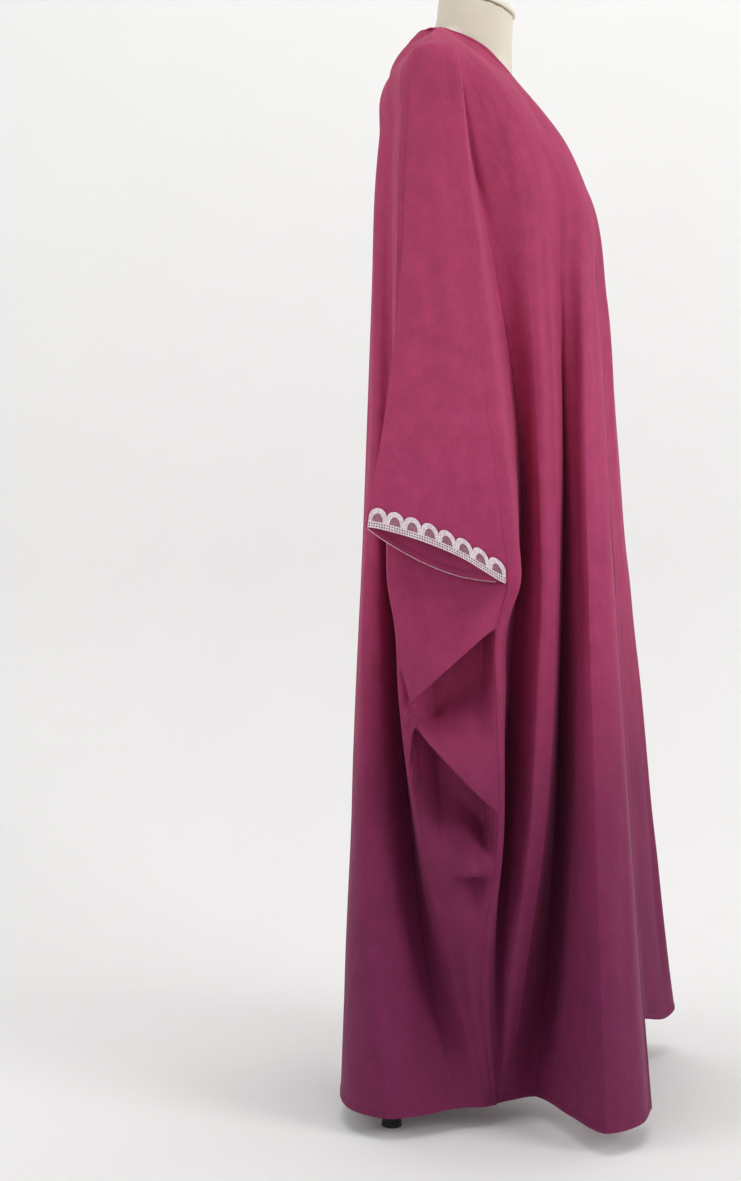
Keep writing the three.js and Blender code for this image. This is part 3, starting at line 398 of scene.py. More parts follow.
BACK_FOLDS = [
    dict(fold="inner fold of the sleeve", crisp=0.3, ridge=163,
         forward=[-58, -36, -24, 2, 28, 46, 50, 36, 35, 36, 14, 28],
         out=[176, 188, 192, 196, 201, 210, 221.4, 207, 204, 196, 173, 152]),
    dict(fold="pouch, front", ridge=156, forward=[-66, -54, -46, -26, -5, 10, 14, 10, 6, 8, 4, 26],
         out=[171, 182, 184, 185, 188, 193, 199, 208, 214, 206, 176, 154]),
    dict(fold="pouch, middle", ridge=149, forward=[-73, -68, -62, -50, -36, -24, -22, -25, -24, -14, -6, 24],
         out=[166, 180, 181, 182, 184, 187, 191, 205, 216, 206, 175, 156]),
    dict(fold="pouch, rear", ridge=141, forward=[-80, -78, -76, -72, -68, -64, -62, -62, -56, -40, -15, 22],
         out=[160, 175, 177, 178, 181, 186, 189, 200, 212, 200, 172, 158]),
    dict(fold="rear crest of the pouch", crisp=0.95, ridge=132,
         forward=[-86, -90, -92, -95, -99, -104, -103, -93, -88, -64, -24, 18],
         out=[150, 165, 168, 172, 180, 192, 195, 196, 197, 188, 168, 161]),
    dict(fold="back valley", crisp=0.7, ridge=114,
         forward=[-98, -104, -106, -106, -106, -110, -108, -103, -98, -82, -60, -18],
         out=[118, 128, 128, 124, 118, 114, 112, 110, 108, 106, 120, 172]),
    dict(fold="flank of the back lobe", ridge=98,
         forward=[-109, -117, -120, -122, -124, -123, -122, -121, -119, -107, -89, -60],
         out=[96, 112, 114, 117, 122, 136, 141, 145, 149, 160, 180, 208]),
    dict(fold="crest of the back lobe", crisp=0.2, ridge=82,
         neck=[(1436, -66, 80), (1412, -90, 78)],
         forward=[-115, -125, -129, -134, -138, -140, -141, -142, -141, -136, -124, -100],
         out=[76, 98, 101, 104, 108, 128, 136, 142, 152, 176, 202, 227]),
    dict(fold="rear of the back lobe", ridge=66,
         neck=[(1440, -72, 63), (1416, -98, 59)],
         forward=[-120, -129, -133, -138, -144, -148, -150, -152, -155, -160, -162, -152],
         out=[55, 70, 75, 82, 90, 98, 102, 106, 112, 128, 155, 192]),
    dict(fold="back fold", ridge=42, neck=[(1442, -92, 40), (1419, -112, 36)],
         forward=[-123, -131, -134, -138, -141, -145, -147, -149, -153, -160, -168, -177],
         out=[30, 40, 44, 48, 54, 60, 62, 66, 70, 80, 92, 96]),
    dict(fold="back middle", ridge=0, neck=[(1440, -99, 0), (1418, -114, 0)],
         forward=[-123, -129, -131, -132, -133, -136, -137, -138, -141, -146, -150, -154],
         out=[0] * 12),
]
# On the left the front swings further forward and its hem rises; the rest sways a little from the right.
LEFT_FRONT_FOLDS = [
    dict(fold="front edge", ridge=66, hem=69, neck=NECK_EDGE,
         forward=[53, 122, 145, 163, 174, 184, 188, 190, 196, 208, 219, 230],
         out=[42, 18, 2.6, 17, 45, 64, 72, 78, 90, 114, 138, 162]),
    dict(fold="beside the edge", ridge=72, hem=57, neck=NECK_BESIDE,
         forward=[48, 118, 148, 177, 190, 200, 206, 210, 220, 236, 250, 264],
         out=[56, 36, 28, 50, 82, 109, 118, 126, 143, 172, 196, 218]),
    dict(fold="front crest", crisp=0.3, ridge=80, hem=64, neck=NECK_CREST,
         forward=[40, 106, 141, 171, 192, 204, 211, 216, 226, 243, 262, 280],
         out=[72, 60, 54, 78, 108, 132, 141, 149, 165, 195, 230, 264]),
    dict(fold="flank of the valley", ridge=92, hem=50,
         forward=[33, 92, 124, 139, 155, 163, 168, 172, 180, 193, 205, 214],
         out=[90, 79, 76, 88, 118, 142, 152, 160, 175, 206, 242, 282]),
    dict(fold="front valley", crisp=0.5, ridge=104, hem=34,
         forward=[24, 82, 104, 115, 120, 120, 119, 118, 116, 112, 108, 104],
         out=[106, 94, 86, 81, 76, 70, 70, 70, 72, 80, 98, 128]),
]
LEFT_SWAY = 5
LEFT_SWAY_LENGTH = 610
# Slack of the side seam under the cuff: two slanting tucks and a rolled lobe.
POUCH = {
    "right": dict(upper=618, upper_slope=0.9, lower=452, lower_slope=-1.05, lobe=338, depth=20),
    "left": dict(upper=600, upper_slope=0.8, lower=446, lower_slope=-0.9, lobe=360, depth=17),
}
POUCH_FOOT = 303                 # the slack ends here
POUCH_TUCK = 6.5                 # mm over which the cloth turns in under a lip
POUCH_SWELL = 85                 # mm above the upper lip, where the cloth starts to stand out
UPPER_DEEP, LOWER_DEEP = 2.4, 2.9                       # how far in the pockets go, counted in depths of the pouch
UPPER_HELD, UPPER_HELD_SHARE, LOWER_HELD = 26, 0.32, 34   # mm, or share of the span, for which they stay that deep
UPPER_PULL, LOWER_PULL = 13, 20  # mm that the cloth goes up behind each lip
FULL_SPAN = 60                   # mm between the lips for which the upper tuck has its whole depth
LOBE_MIDDLE, LOBE_HALF = 8, 36   # forward place and half width of the rolled lobe
LOBE_OUT, GROOVE_DEEP = 1.35, 1.2   # how far the lobe stands out and the groove under it goes in, in depths
LOBE_FALL, GROOVE_MENDED = 12, 60
LOBE_LEAST = 70                  # mm from the lower lip down to the lobe, at least
LIP_REACH = (12, 15)             # mm above and below a lip for which the rows of cloth follow it
LIP_APART = 14                   # mm from the middle between the lips to each, at least
LIP_LIMITS = (675, 390)

# Soft folds between the large ones: where they start and end, counted in fold lines of the panel, their width and
# depth (below 0 is a trough), and the heights between which they run.
SOFT_FOLDS = {
    "front": [
        (7.12, 6.97, 6, -8, 1448, 1130), (7.45, 7.2, 6, 1.6, 1100, 800),
        (0.75, 0.85, 5, 1.0, 1330, 700), (1.4, 1.5, 8, -1.6, 1240, 520), (1.9, 2.3, 7, 1.8, 1190, 640),
        (2.6, 2.5, 9, -2.2, 1260, 430), (3.3, 3.5, 8, 1.6, 1320, 760), (3.1, 3.0, 10, -1.8, 620, 150),
        (4.4, 4.5, 7, 1.8, 1150, 700), (5.25, 5.4, 6, -2.0, 1210, 690), (5.7, 5.6, 5, 1.4, 1180, 820),
        (6.2, 6.3, 7, 1.6, 1010, 560), (5.5, 5.6, 7, -1.8, 560, 180), (6.4, 6.5, 8, 1.5, 470, 120),
        (7.4, 7.5, 6, 1.4, 1000, 760), (6.1, 6.4, 9, -1.8, 1380, 1150), (2.2, 2.7, 12, -1.6, 1420, 1240),
        (1.1, 1.25, 10, -1.8, 470, 60), (1.7, 1.6, 9, 1.5, 380, 60), (4.5, 4.2, 10, 1.8, 420, 90),
    ],
    "near": [
        (0.5, 0.6, 9, -1.5, 1330, 960), (1.2, 1.0, 12, 1.6, 1290, 880), (1.7, 1.6, 9, -1.4, 1210, 830),
        (2.4, 2.3, 10, 1.3, 1180, 800), (0.3, 0.5, 7, 1.4, 980, 760), (2.0, 2.2, 8, -1.2, 930, 745),
    ],
    "rear": [(0.8, 0.9, 10, -1.3, 1250, 860), (1.8, 1.7, 10, 1.3, 1150, 800)],
    "back": [
        (3.3, 3.5, 4, 1.8, 702, 560), (2.8, 2.9, 4, -1.6, 700, 610), (2.0, 1.8, 5, 1.4, 700, 640),
        (1.2, 1.3, 8, 1.4, 1250, 900), (2.4, 2.5, 9, -1.6, 1180, 780), (3.4, 3.5, 7, -1.8, 560, 330),
        (3.9, 4.0, 5, 1.6, 690, 250), (3.6, 3.8, 4, -1.4, 660, 280), (4.6, 4.4, 9, 2.0, 1230, 640),
        (5.4, 5.5, 8, -1.8, 1300, 700), (6.5, 6.4, 9, 1.7, 1180, 500), (7.3, 7.6, 11, -2.0, 1260, 420),
        (8.4, 8.3, 10, 1.8, 1110, 330), (9.0, 9.2, 12, -2.4, 1340, 240), (9.6, 9.5, 9, 1.6, 1240, 720),
        (5.2, 5.0, 10, 2.0, 520, 90), (6.8, 6.9, 12, -2.0, 420, 60), (8.0, 8.1, 11, -1.8, 480, 60),
        (9.7, 9.6, 13, -2.2, 560, 60), (1.6, 1.5, 6, 1.5, 330, 110), (2.7, 2.6, 6, -1.5, 300, 80),
    ],
}

# Rows and columns of the finished cloth. The close rows are shifted to lie along the two tucks under each cuff.
TUCK_ROWS = (600, 470)
TUCK_STEPS = np.array([11, 8, 5.5, 3.5, 2, 0.8, 0, -0.8, -2, -3.4, -5, -6.6, -8.6, -11, -14])
ROW_HEIGHTS = np.concatenate([
    [1450, 1449.2, 1443.6, 1442.4], np.linspace(1438, 1385, 13), np.linspace(1378, 715, 94), [711.4, 710.4, 703.8, 703],
    np.linspace(698.5, TUCK_ROWS[0] + 14, 22), TUCK_ROWS[0] + TUCK_STEPS,
    np.linspace(TUCK_ROWS[0] - 17, TUCK_ROWS[1] + 14, 24),
    TUCK_ROWS[1] + TUCK_STEPS, np.linspace(TUCK_ROWS[1] - 18, POUCH_FOOT, 32),
    np.linspace(297, 42, 36), [36.6, 35.6, 28.8, 28],
])
FRONT_COLUMNS = [10, 10, 12, 14, 12, 8, 18, 18, 5]
SLEEVE_COLUMNS = [11, 11, 11]
BACK_COLUMNS = [6, 11, 11, 12, 9, 7, 6, 6, 5, 6]
REAR_COLUMNS = [8, 8, 8]


def smooth(t):
    t = np.clip(t, 0, 1)
    return t * t * (3 - 2 * t)


def run_down(heights, values, at):
    """A smooth line through values at falling heights, read at other heights."""
    heights, values = np.asarray(heights, float), np.asarray(values, float)
    step = np.diff(values) / np.diff(heights)
    gap = np.abs(np.diff(heights))
    slope = np.concatenate([step[:1], (step[:-1] * gap[1:] + step[1:] * gap[:-1]) / (gap[:-1] + gap[1:]), step[-1:]])
    i = np.clip(np.searchsorted(-heights, -at, side="right") - 1, 0, len(heights) - 2)
    width = heights[i + 1] - heights[i]
    t = (at - heights[i]) / width
    t2, t3 = t * t, t ** 3
    return (values[i] * (2 * t3 - 3 * t2 + 1) + slope[i] * width * (t3 - 2 * t2 + t)
            + values[i + 1] * (3 * t2 - 2 * t3) + slope[i + 1] * width * (t3 - t2))


def ridge_point(out):
    return np.stack([np.asarray(out, float), np.interp(out, RIDGE[:, 0], RIDGE[:, 1]),
                     np.interp(out, RIDGE[:, 0], RIDGE[:, 2])], axis=-1)


def fold_line(line, rows):
    """Points (out, forward, height) of a fold line, one for each row; "neck" adds levels by the neckline."""
    top = ridge_point(line["ridge"])
    scale = (LEVELS[0] - line["cuff"]) / (LEVELS[0] - SLIT_HEIGHT) if "cuff" in line else 1
    at = LEVELS[0] - (LEVELS[0] - rows) * scale
    heights = LEVELS[:len(line["out"]) + 1]
    rise = heights.copy()
    rise[0] = top[2]
    if len(rise) == len(LEVELS):
        rise[-1] = line.get("hem", HEM_HEIGHT)
    ways = np.array([[top[0], *line["out"]], [top[1], *line["forward"]], rise])
    if "neck" in line:
        extra = np.array(line["neck"], float).T
        heights = np.concatenate([heights[:1], extra[0], heights[1:]])
        ways = np.concatenate([ways[:, :1], extra[[2, 1, 0]], ways[:, 1:]], axis=1)
    return np.stack([run_down(heights, way, at) for way in ways], axis=-1)


def between(a, b, c, d, t):
    """A rounded line from b to c, for each row, at shares t of the way."""
    reach = [np.sqrt(np.linalg.norm(q - p, axis=1)) + 1e-6 for p, q in ((a, b), (b, c), (c, d))]
    t1 = reach[0][:, None, None]
    t2 = t1 + reach[1][:, None, None]
    t3 = t2 + reach[2][:, None, None]
    s = t1 + (t2 - t1) * np.asarray(t)[None, :, None]
    a, b, c, d = [p[:, None, :] for p in (a, b, c, d)]

    def mix(p, q, u, v):
        return p * (v - s) / (v - u) + q * (s - u) / (v - u)

    a1, a2, a3 = mix(a, b, 0, t1), mix(b, c, t1, t2), mix(c, d, t2, t3)
    return mix(mix(a1, a2, 0, t2), mix(a2, a3, t1, t3), t1, t2)


def row_lengths(grid):
    steps = np.linalg.norm(np.diff(grid, axis=1), axis=2)
    return np.concatenate([np.zeros((len(grid), 1)), np.cumsum(steps, axis=1)], axis=1)


def column_lengths(grid):
    steps = np.linalg.norm(np.diff(grid, axis=0), axis=2)
    return np.concatenate([np.zeros((1, grid.shape[1])), np.cumsum(steps, axis=0)], axis=0)


def outward(grid):
    """Unit normals of the outer face."""
    normal = np.cross(np.gradient(grid, axis=1), np.gradient(grid, axis=0))
    return normal / (np.linalg.norm(normal, axis=2, keepdims=True) + 1e-9)


def draped(lines, before, after, columns, ridges, crisp, hem_first=False):
    """The sheet between fold lines as a grid of points, and the place of each column counted in fold lines.

    A line's crispness, 0 to 1, draws the cloth flat towards it, so that it folds there along an edge."""
    chain = [before, *lines, after]
    parts, places = [], []
    for i, count in enumerate(columns):
        t = np.arange(count) / count
        t = 0.5 * t + 0.25 * (1 - np.cos(math.pi * t))
        if i == 0 and hem_first:
            fine = np.linspace(0, 1, 41)
            curve = between(*chain[:4], fine)
            reach = row_lengths(curve)
            whole = reach[:, -1]
            stops = np.array([0, 0.7, HEM_WIDTH - 1, HEM_WIDTH])
            part = np.empty((len(curve), count, 3))
            for r in range(len(curve)):
                edge = stops * min(1, 0.55 * whole[r] / HEM_WIDTH)
                rest = np.linspace(edge[-1], whole[r], count - 2)[1:-1]
                at = np.concatenate([edge, rest])
                for k in range(3):
                    part[r, :, k] = np.interp(at, reach[r], curve[r, :, k])
            t = np.concatenate([[0, 0.02, 0.17, 0.2], np.linspace(0.2, 1, count - 2)[1:-1]])
        else:
            part = between(*chain[i:i + 4], t)
            flat = chain[i + 1][:, None] * (1 - t)[None, :, None] + chain[i + 2][:, None] * t[None, :, None]
            pull = np.maximum(crisp[i] * (1 - t) ** 2, crisp[i + 1] * t ** 2)[None, :, None]
            part = part * (1 - pull) + flat * pull
        part[0] = ridge_point(ridges[i] + (ridges[i + 1] - ridges[i]) * t)
        parts.append(part)
        places.append(i + t)
    last = lines[-1][:, None, :].copy()
    last[0] = ridge_point(ridges[-1])
    return np.concatenate([*parts, last], axis=1), np.concatenate([*places, [len(columns)]])


def soft_folds(grid, places, table, rows, turn=0.0):
    """Lays shallow folds into a sheet, along its normals."""
    normal, length = outward(grid), row_lengths(grid)
    lift = np.zeros(grid.shape[:2])
    for k, (start, end, width, depth, high, low) in enumerate(table):
        share = np.clip((high - rows) / (high - low), 0, 1)
        where = start + (end - start) * share + 0.05 * np.sin(5 * share + k + turn)
        window = smooth(share / 0.3) * smooth((1 - share) / 0.35)
        middle = np.array([np.interp(w, places, length[r]) for r, w in enumerate(where)])
        off = (length - middle[:, None]) / (width * (0.8 + 0.5 * share))[:, None]
        lift += depth * window[:, None] * np.exp(-off ** 2)
    edge = smooth(np.minimum(places, places[-1] - places) / 0.35)
    return grid + normal * (lift * edge[None, :] * smooth((1446 - rows) / 60)[:, None])[:, :, None]


def pouch_lift(shape, share, lips, forward, height):
    """How far the slack cloth stands out and is pulled up under the cuff; share runs from the seam to the crest.

    Under each lip the cloth turns in, goes up behind the lip, and comes down again deep inside."""
    window = smooth((1 - share) / 0.24) * smooth(share / 0.14)
    upper, lower = [np.broadcast_to(lip, height.shape) for lip in lips]
    depth = shape["depth"]
    span = np.maximum(upper - lower, 1)
    above = depth * smooth(1 - (height - upper) / POUCH_SWELL)

    # Between the lips.
    down = upper - height
    held = np.minimum(UPPER_HELD, UPPER_HELD_SHARE * span)
    back_out = smooth((down - POUCH_TUCK - held) / np.maximum(span - POUCH_TUCK - held, 20))
    face = np.where(down < POUCH_TUCK, depth * (1 - (1 + UPPER_DEEP) * smooth(down / POUCH_TUCK)),
                    depth * (-UPPER_DEEP + (1 + UPPER_DEEP) * back_out))
    small = np.minimum(1, span / FULL_SPAN)
    behind = np.where(down < POUCH_TUCK, smooth(down / POUCH_TUCK), 1 - (down - POUCH_TUCK) / (held + 6))
    pulled = np.where(height < upper, UPPER_PULL * np.clip(behind, 0, 1) * small, 0)

    # Under the lower lip: a second pocket, then the rolled lobe with a groove beneath it.
    under = lower - height
    roll = smooth(1 - np.abs(forward - LOBE_MIDDLE) / LOBE_HALF)
    low = np.maximum(lower - shape["lobe"], LOBE_LEAST)
    rise = -LOWER_DEEP + (LOWER_DEEP + LOBE_OUT * roll) * smooth(
        (under - POUCH_TUCK - LOWER_HELD) / (low - POUCH_TUCK - LOWER_HELD))
    fall, mended = smooth((under - low) / LOBE_FALL), smooth((under - low - LOBE_FALL - 2) / GROOVE_MENDED)
    lobe = np.where(under < POUCH_TUCK, depth * (1 - (1 + LOWER_DEEP) * smooth(under / POUCH_TUCK)), depth * rise)
    lobe = np.where(under > low, depth * roll * (LOBE_OUT * (1 - fall) - GROOVE_DEEP * fall * (1 - mended)), lobe)
    behind = np.where(under < POUCH_TUCK, smooth(under / POUCH_TUCK), 1 - (under - POUCH_TUCK) / (LOWER_HELD + 2))
    pulled = np.where(height < lower, LOWER_PULL * np.clip(behind, 0, 1), pulled)
    return np.where(height > upper, above, np.where(height > lower, face * small, lobe)) * window, pulled * window


def along_tucks(grid, share, shape):
    """Slides the points of the back up or down their columns, so that rows of the cloth lie along the two tucks.

    Returns the height of the upper and the lower lip on each column."""
    over, past = LIP_REACH

    def stops(upper, lower):
        return np.array([SLIT_HEIGHT, upper + over, upper - past, lower + over, lower - past, POUCH_FOOT])

    rows = stops(*TUCK_ROWS)
    lips = np.tile(np.array(TUCK_ROWS, float)[:, None], (1, len(share)))
    for c in np.flatnonzero(share < 1):
        line = grid[:, c].copy()
        upper, lower = TUCK_ROWS
        for _ in range(5):
            upper = shape["upper"] + shape["upper_slope"] * np.interp(-upper, -line[:, 2], line[:, 1])
            lower = shape["lower"] + shape["lower_slope"] * np.interp(-lower, -line[:, 2], line[:, 1])
        middle = (upper + lower) / 2
        upper = min(max(upper, middle + LIP_APART), LIP_LIMITS[0])
        lower = max(min(lower, middle - LIP_APART), LIP_LIMITS[1])
        moved = rows + (stops(upper, lower) - rows) * smooth((1 - share[c]) / 0.1)
        lips[:, c] = moved[1] - over, moved[3] - over
        under = (line[:, 2] < SLIT_HEIGHT) & (line[:, 2] > POUCH_FOOT)
        height = np.interp(-line[under, 2], -rows, moved)
        for k in range(3):
            grid[under, c, k] = np.interp(-height, -line[:, 2], line[:, k])
    return lips


def swayed(lines, amount):
    heights = LEVELS[1:]
    drift = amount * smooth((1300 - heights) / 300) * np.sin(2 * math.pi * heights / LEFT_SWAY_LENGTH)
    return [dict(line, forward=list(np.array(line["forward"]) + drift[:len(line["forward"])])) for line in lines]


def make_half(side):
    """The grids of one half of the garment: main front, both sleeve layers and half of the back."""
    left = side == "left"
    amount = LEFT_SWAY if left else 0
    front = (LEFT_FRONT_FOLDS if left else FRONT_FOLDS[:5]) + swayed(FRONT_FOLDS[5:], amount)
    near, rear, back = [swayed(lines, amount) for lines in (SLEEVE_NEAR, SLEEVE_REAR, BACK_FOLDS)]
    rows = ROW_HEIGHTS
    sleeve_rows = rows[rows >= SLIT_HEIGHT]
    count = len(sleeve_rows)
    held = np.maximum(rows, SLIT_HEIGHT)
    f = [fold_line(line, rows) for line in front]
    b = [fold_line(line, rows) for line in back]
    below = smooth((SLIT_HEIGHT - rows) / 50)[:, None]
    sunk = np.stack([0 * rows, 0 * rows, rows - held], axis=-1)
    near_next = (fold_line(near[0], held) + sunk) * (1 - below) + b[1] * below
    rear_next = (fold_line(rear[1], held) + sunk) * (1 - below) + f[8] * below
    n = [fold_line(line, sleeve_rows) for line in near]
    q = [fold_line(line, sleeve_rows) for line in rear]
    main, main_places = draped(f, 2 * f[0] - f[1], near_next, FRONT_COLUMNS,
                               [line["ridge"] for line in front], [line.get("crisp", 0) for line in front],
                               hem_first=True)
    sleeve, sleeve_places = draped([f[9][:count], *n], f[8][:count], q[0], SLEEVE_COLUMNS, [166, 173, 179, 184],
                                   [0, 0, 0, 0.5])
    inner, inner_places = draped([n[2], *q, b[0][:count]], n[1], b[1][:count], REAR_COLUMNS, [184, 177, 170, 163],
                                 [0.5, 0, 0, 0])
    rear_main, rear_places = draped(b, rear_next, b[9] * (-1, 1, 1), BACK_COLUMNS, [line["ridge"] for line in back],
                                    [line.get("crisp", 0) for line in back])
    share = np.interp(rear_places, [0, 1, 2, 3, 4], [0, 1 / 6, 3 / 6, 5 / 6, 1])
    lips = along_tucks(rear_main, share, POUCH[side])
    under = rows < SLIT_HEIGHT
    out, up = pouch_lift(POUCH[side], np.broadcast_to(share, rear_main.shape[:2]), lips, rear_main[:, :, 1],
                         rear_main[:, :, 2])
    rear_main[under, :, 0] += out[under]
    rear_main[under, :, 2] += up[under]
    turn = 1.7 if left else 0.0
    main = soft_folds(main, main_places, SOFT_FOLDS["front"], rows, turn)
    sleeve = soft_folds(sleeve, sleeve_places, SOFT_FOLDS["near"], sleeve_rows, turn)
    inner = soft_folds(inner, inner_places, SOFT_FOLDS["rear"], sleeve_rows, turn)
    rear_main = soft_folds(rear_main, rear_places, SOFT_FOLDS["back"], rows, turn)
    rear_main[:, -1, 0] = 0
    # Below the sleeve both panels end just short of the side seam.
    for grid, edge, beside in ((main, -1, -2), (rear_main, 0, 1)):
        way = grid[:, beside] - grid[:, edge]
        way /= np.linalg.norm(way, axis=1, keepdims=True) + 1e-9
        grid[:, edge] += way * (SEAM_HALF_GAP * (rows < SLIT_HEIGHT))[:, None]
    return dict(main=main, sleeve=sleeve, inner=inner, back=rear_main, rows=rows, sleeve_rows=sleeve_rows)


def in_frame(side, points):
    """From (out, forward, height) in mm to the frame in metres."""
    sign = 1 if side == "left" else -1
    points = np.asarray(points, float)
    return np.stack([AXIS.x + sign * points[..., 0] / 1000, AXIS.y - points[..., 1] / 1000, points[..., 2] / 1000],
                    axis=-1)


def from_faces(name, points, faces):
    mesh = bpy.data.meshes.new(name)
    mesh.from_pydata([tuple(p) for p in points], [], [tuple(f) for f in faces])
    obj = bpy.data.objects.new(name, mesh)
    bpy.context.collection.objects.link(obj)
    return obj


def faced_out(obj):
    """Turns all the faces of a piece outwards."""
    choose(obj)
    bpy.ops.object.mode_set(mode="EDIT")
    bpy.ops.mesh.select_all(action="SELECT")
    bpy.ops.mesh.normals_make_consistent(inside=False)
    return obj


def lay_cloth_places(obj, places):
    """Gives each corner the place of its point in the cloth, in metres."""
    layer = obj.data.uv_layers.new(name="cloth")
    corners = np.empty(len(obj.data.loops), int)
    obj.data.loops.foreach_get("vertex_index", corners)
    layer.data.foreach_set("uv", np.asarray(places)[corners].ravel())


def run_lengths(line):
    return np.concatenate([[0], np.cumsum(np.linalg.norm(np.diff(line, axis=0), axis=1))])


def read_along(line, length, at):
    return np.stack([np.interp(at, length, line[:, k]) for k in range(3)], axis=-1)


class Sheet:
    """Points and faces of a panel as they are laid down, with each point's place in the cloth and its hem weight."""

    def __init__(self):
        self.points, self.faces, self.flat, self.hem = [], [], [], []

    def lay(self, side, grid, hems, shift=0.0, first_column=None, last_column=None):
        """Adds a grid; a column that another grid has already is given by its point numbers."""
        u, v = row_lengths(grid) / 1000 + shift, column_lengths(grid) / 1000
        points = in_frame(side, grid)
        rows, columns = grid.shape[:2]
        ids = np.empty((rows, columns), int)
        for r in range(rows):
            for c in range(columns):
                given = first_column if c == 0 else last_column if c == columns - 1 else None
                if given is not None and r < len(given) and given[r] >= 0:
                    ids[r, c] = given[r]
                    continue
                ids[r, c] = len(self.points)
                self.points.append(points[r, c])
                self.flat.append((u[r, c], v[r, c]))
                self.hem.append(hems[r, c])
        a, b, c, d = ids[:-1, :-1], ids[:-1, 1:], ids[1:, 1:], ids[1:, :-1]
        order = (a, b, c, d) if side == "right" else (a, d, c, b)
        self.faces += np.stack(order, axis=-1).reshape(-1, 4).tolist()
        return ids

    def cloth(self, name, thick):
        obj = from_faces(name, self.points, self.faces)
        lay_cloth_places(obj, self.flat)
        hemmed = obj.vertex_groups.new(name="hem")
        weights = np.array(self.hem)
        hemmed.add(np.flatnonzero(weights > 0.5).tolist(), 1.0, "REPLACE")
        hemmed.add(np.flatnonzero(weights <= 0.5).tolist(), 0.5, "REPLACE")
        finished(obj, ("SOLIDIFY", dict(thickness=2 * thick / 1000, offset=0, vertex_group="hem",
                                        use_quality_normals=True)), angle=40)
        obj.vertex_groups.clear()
        return obj


def hem_weights(grid, rows, front_edge=False, bottom=False, neck=None):
    """1 where the cloth is doubled in a hem."""
    weights = np.zeros(grid.shape[:2])
    if bottom:
        weights[rows <= rows[-1] + HEM_WIDTH + 0.2] = 1
    if front_edge:
        weights[:, :3] = 1
    if neck is not None:
        weights[:3, neck:] = 1
    return weights


# Crepe: hard-twisted polyester yarn in a plain weave, which gives a dry matte face with a fine pebble and a little
# light on the fold edges. Its colour runs by height from raspberry to plum: partly a dye ombre, and partly painted
# shade for the light falling off towards the hem. The yarn is drawn 1.2 mm wide, where the real one is 0.3 mm, so
# that it shows.
crepe, tree, place = new_material("polyester_crepe")
level = put(tree, "ShaderNodeSeparateXYZ", {"Vector": place}).outputs["Z"]
drift = ranged(tree, noise(tree, place, 3.5), -0.05, 0.05)
ombre_and_shade = put(tree, "ShaderNodeValToRGB", {"Fac": ranged(tree, added(tree, level, drift), high=1.5)})
# Ramp stops by height: the darkening towards the hem is partly dye and partly painted shade.
dye_and_shade_stops = [(0.0, "#6f1c48"), (0.12, "#701d4a"), (0.28, "#7e254f"), (0.37, "#932d57"), (0.46, "#a33461"), (0.6, "#ae3b66"),
        (1.0, "#ab3961")]
for i, (at, colour) in enumerate(dye_and_shade_stops):
    stop = ombre_and_shade.color_ramp.elements[i] if i < 2 else ombre_and_shade.color_ramp.elements.new(at)
    stop.position, stop.color = at, linear(colour)
weave = put(tree, "ShaderNodeUVMap", uv_map="cloth").outputs["UV"]


def stretched(scale, turn=0.0):
    """The cloth's own places, drawn out along the thread."""
    return put(tree, "ShaderNodeMapping", {"Vector": weave, "Scale": scale, "Rotation": (0, 0, turn)}).outputs["Vector"]


yarn = added(tree, noise(tree, stretched((830, 60, 1)), 1), noise(tree, stretched((60, 830, 1)), 1))
mottle = added(tree, yarn, noise(tree, place, 38, 3))
tone = mixed(tree, 1.0, ombre_and_shade.outputs["Color"], ranged(tree, mottle, 0.8, 1.18, 1.0, 2.0), blend_type="MULTIPLY")
crumple = noise(tree, stretched((26, 7, 1), 0.12), 1, 5, Roughness=0.45, Distortion=0.6)
soft = bumped(tree, crumple, 0.5, 0.006)
relief = bumped(tree, added(tree, yarn, noise(tree, place, 620)), 0.35, 0.0006, Normal=soft)
shown(tree, principled(tree, tone, 0.78, Normal=relief, **{
    "Specular IOR Level": 0.3, "Sheen Weight": 0.12, "Sheen Roughness": 0.35, "Sheen Tint": linear("#e890b0")}))

halves = {side: make_half(side) for side in ("right", "left")}

panels = {}
for side, half in halves.items():
    main, sleeve = half["main"], half["sleeve"]
    sheet = Sheet()
    ids = sheet.lay(side, main, hem_weights(main, half["rows"], front_edge=True, bottom=True))
    whole = row_lengths(main)[:len(sleeve), -1].mean() / 1000
    sheet.lay(side, sleeve, hem_weights(sleeve, half["sleeve_rows"], bottom=True), whole,
              first_column=ids[:len(sleeve), -1])
    panels["front_" + side] = sheet.cloth(f"front_panel_{side}", CLOTH_THICK)
    dressed(panels["front_" + side], crepe, "crepe", "front_" + side)

sheet = Sheet()
middle = None
for side, half in halves.items():
    grid, inner = half["back"], half["inner"]
    weights = hem_weights(grid, half["rows"], bottom=True, neck=int(np.sum(grid[0, :, 0] > 66)))
    ids = sheet.lay(side, grid, weights, last_column=middle)
    middle = ids[:, -1]
    sheet.lay(side, inner, hem_weights(inner, half["sleeve_rows"], bottom=True), -0.2,
              last_column=ids[:len(inner), 0])
panels["back"] = sheet.cloth("back_panel", CLOTH_THICK)
dressed(panels["back"], crepe, "crepe", "back")

# Shoulder seams. Front and back are closed along the shoulder and down the outer fold of each sleeve with a rolled
# seam of the same crepe, about 1.6 mm thick, that runs from the neck to the cuff.

SEAM_RADIUS = 0.8
SEAM_STEP = 4.0                  # mm between the rings of a cord
SIDE_SEAM_SUNK = 0.9             # mm inside the panels


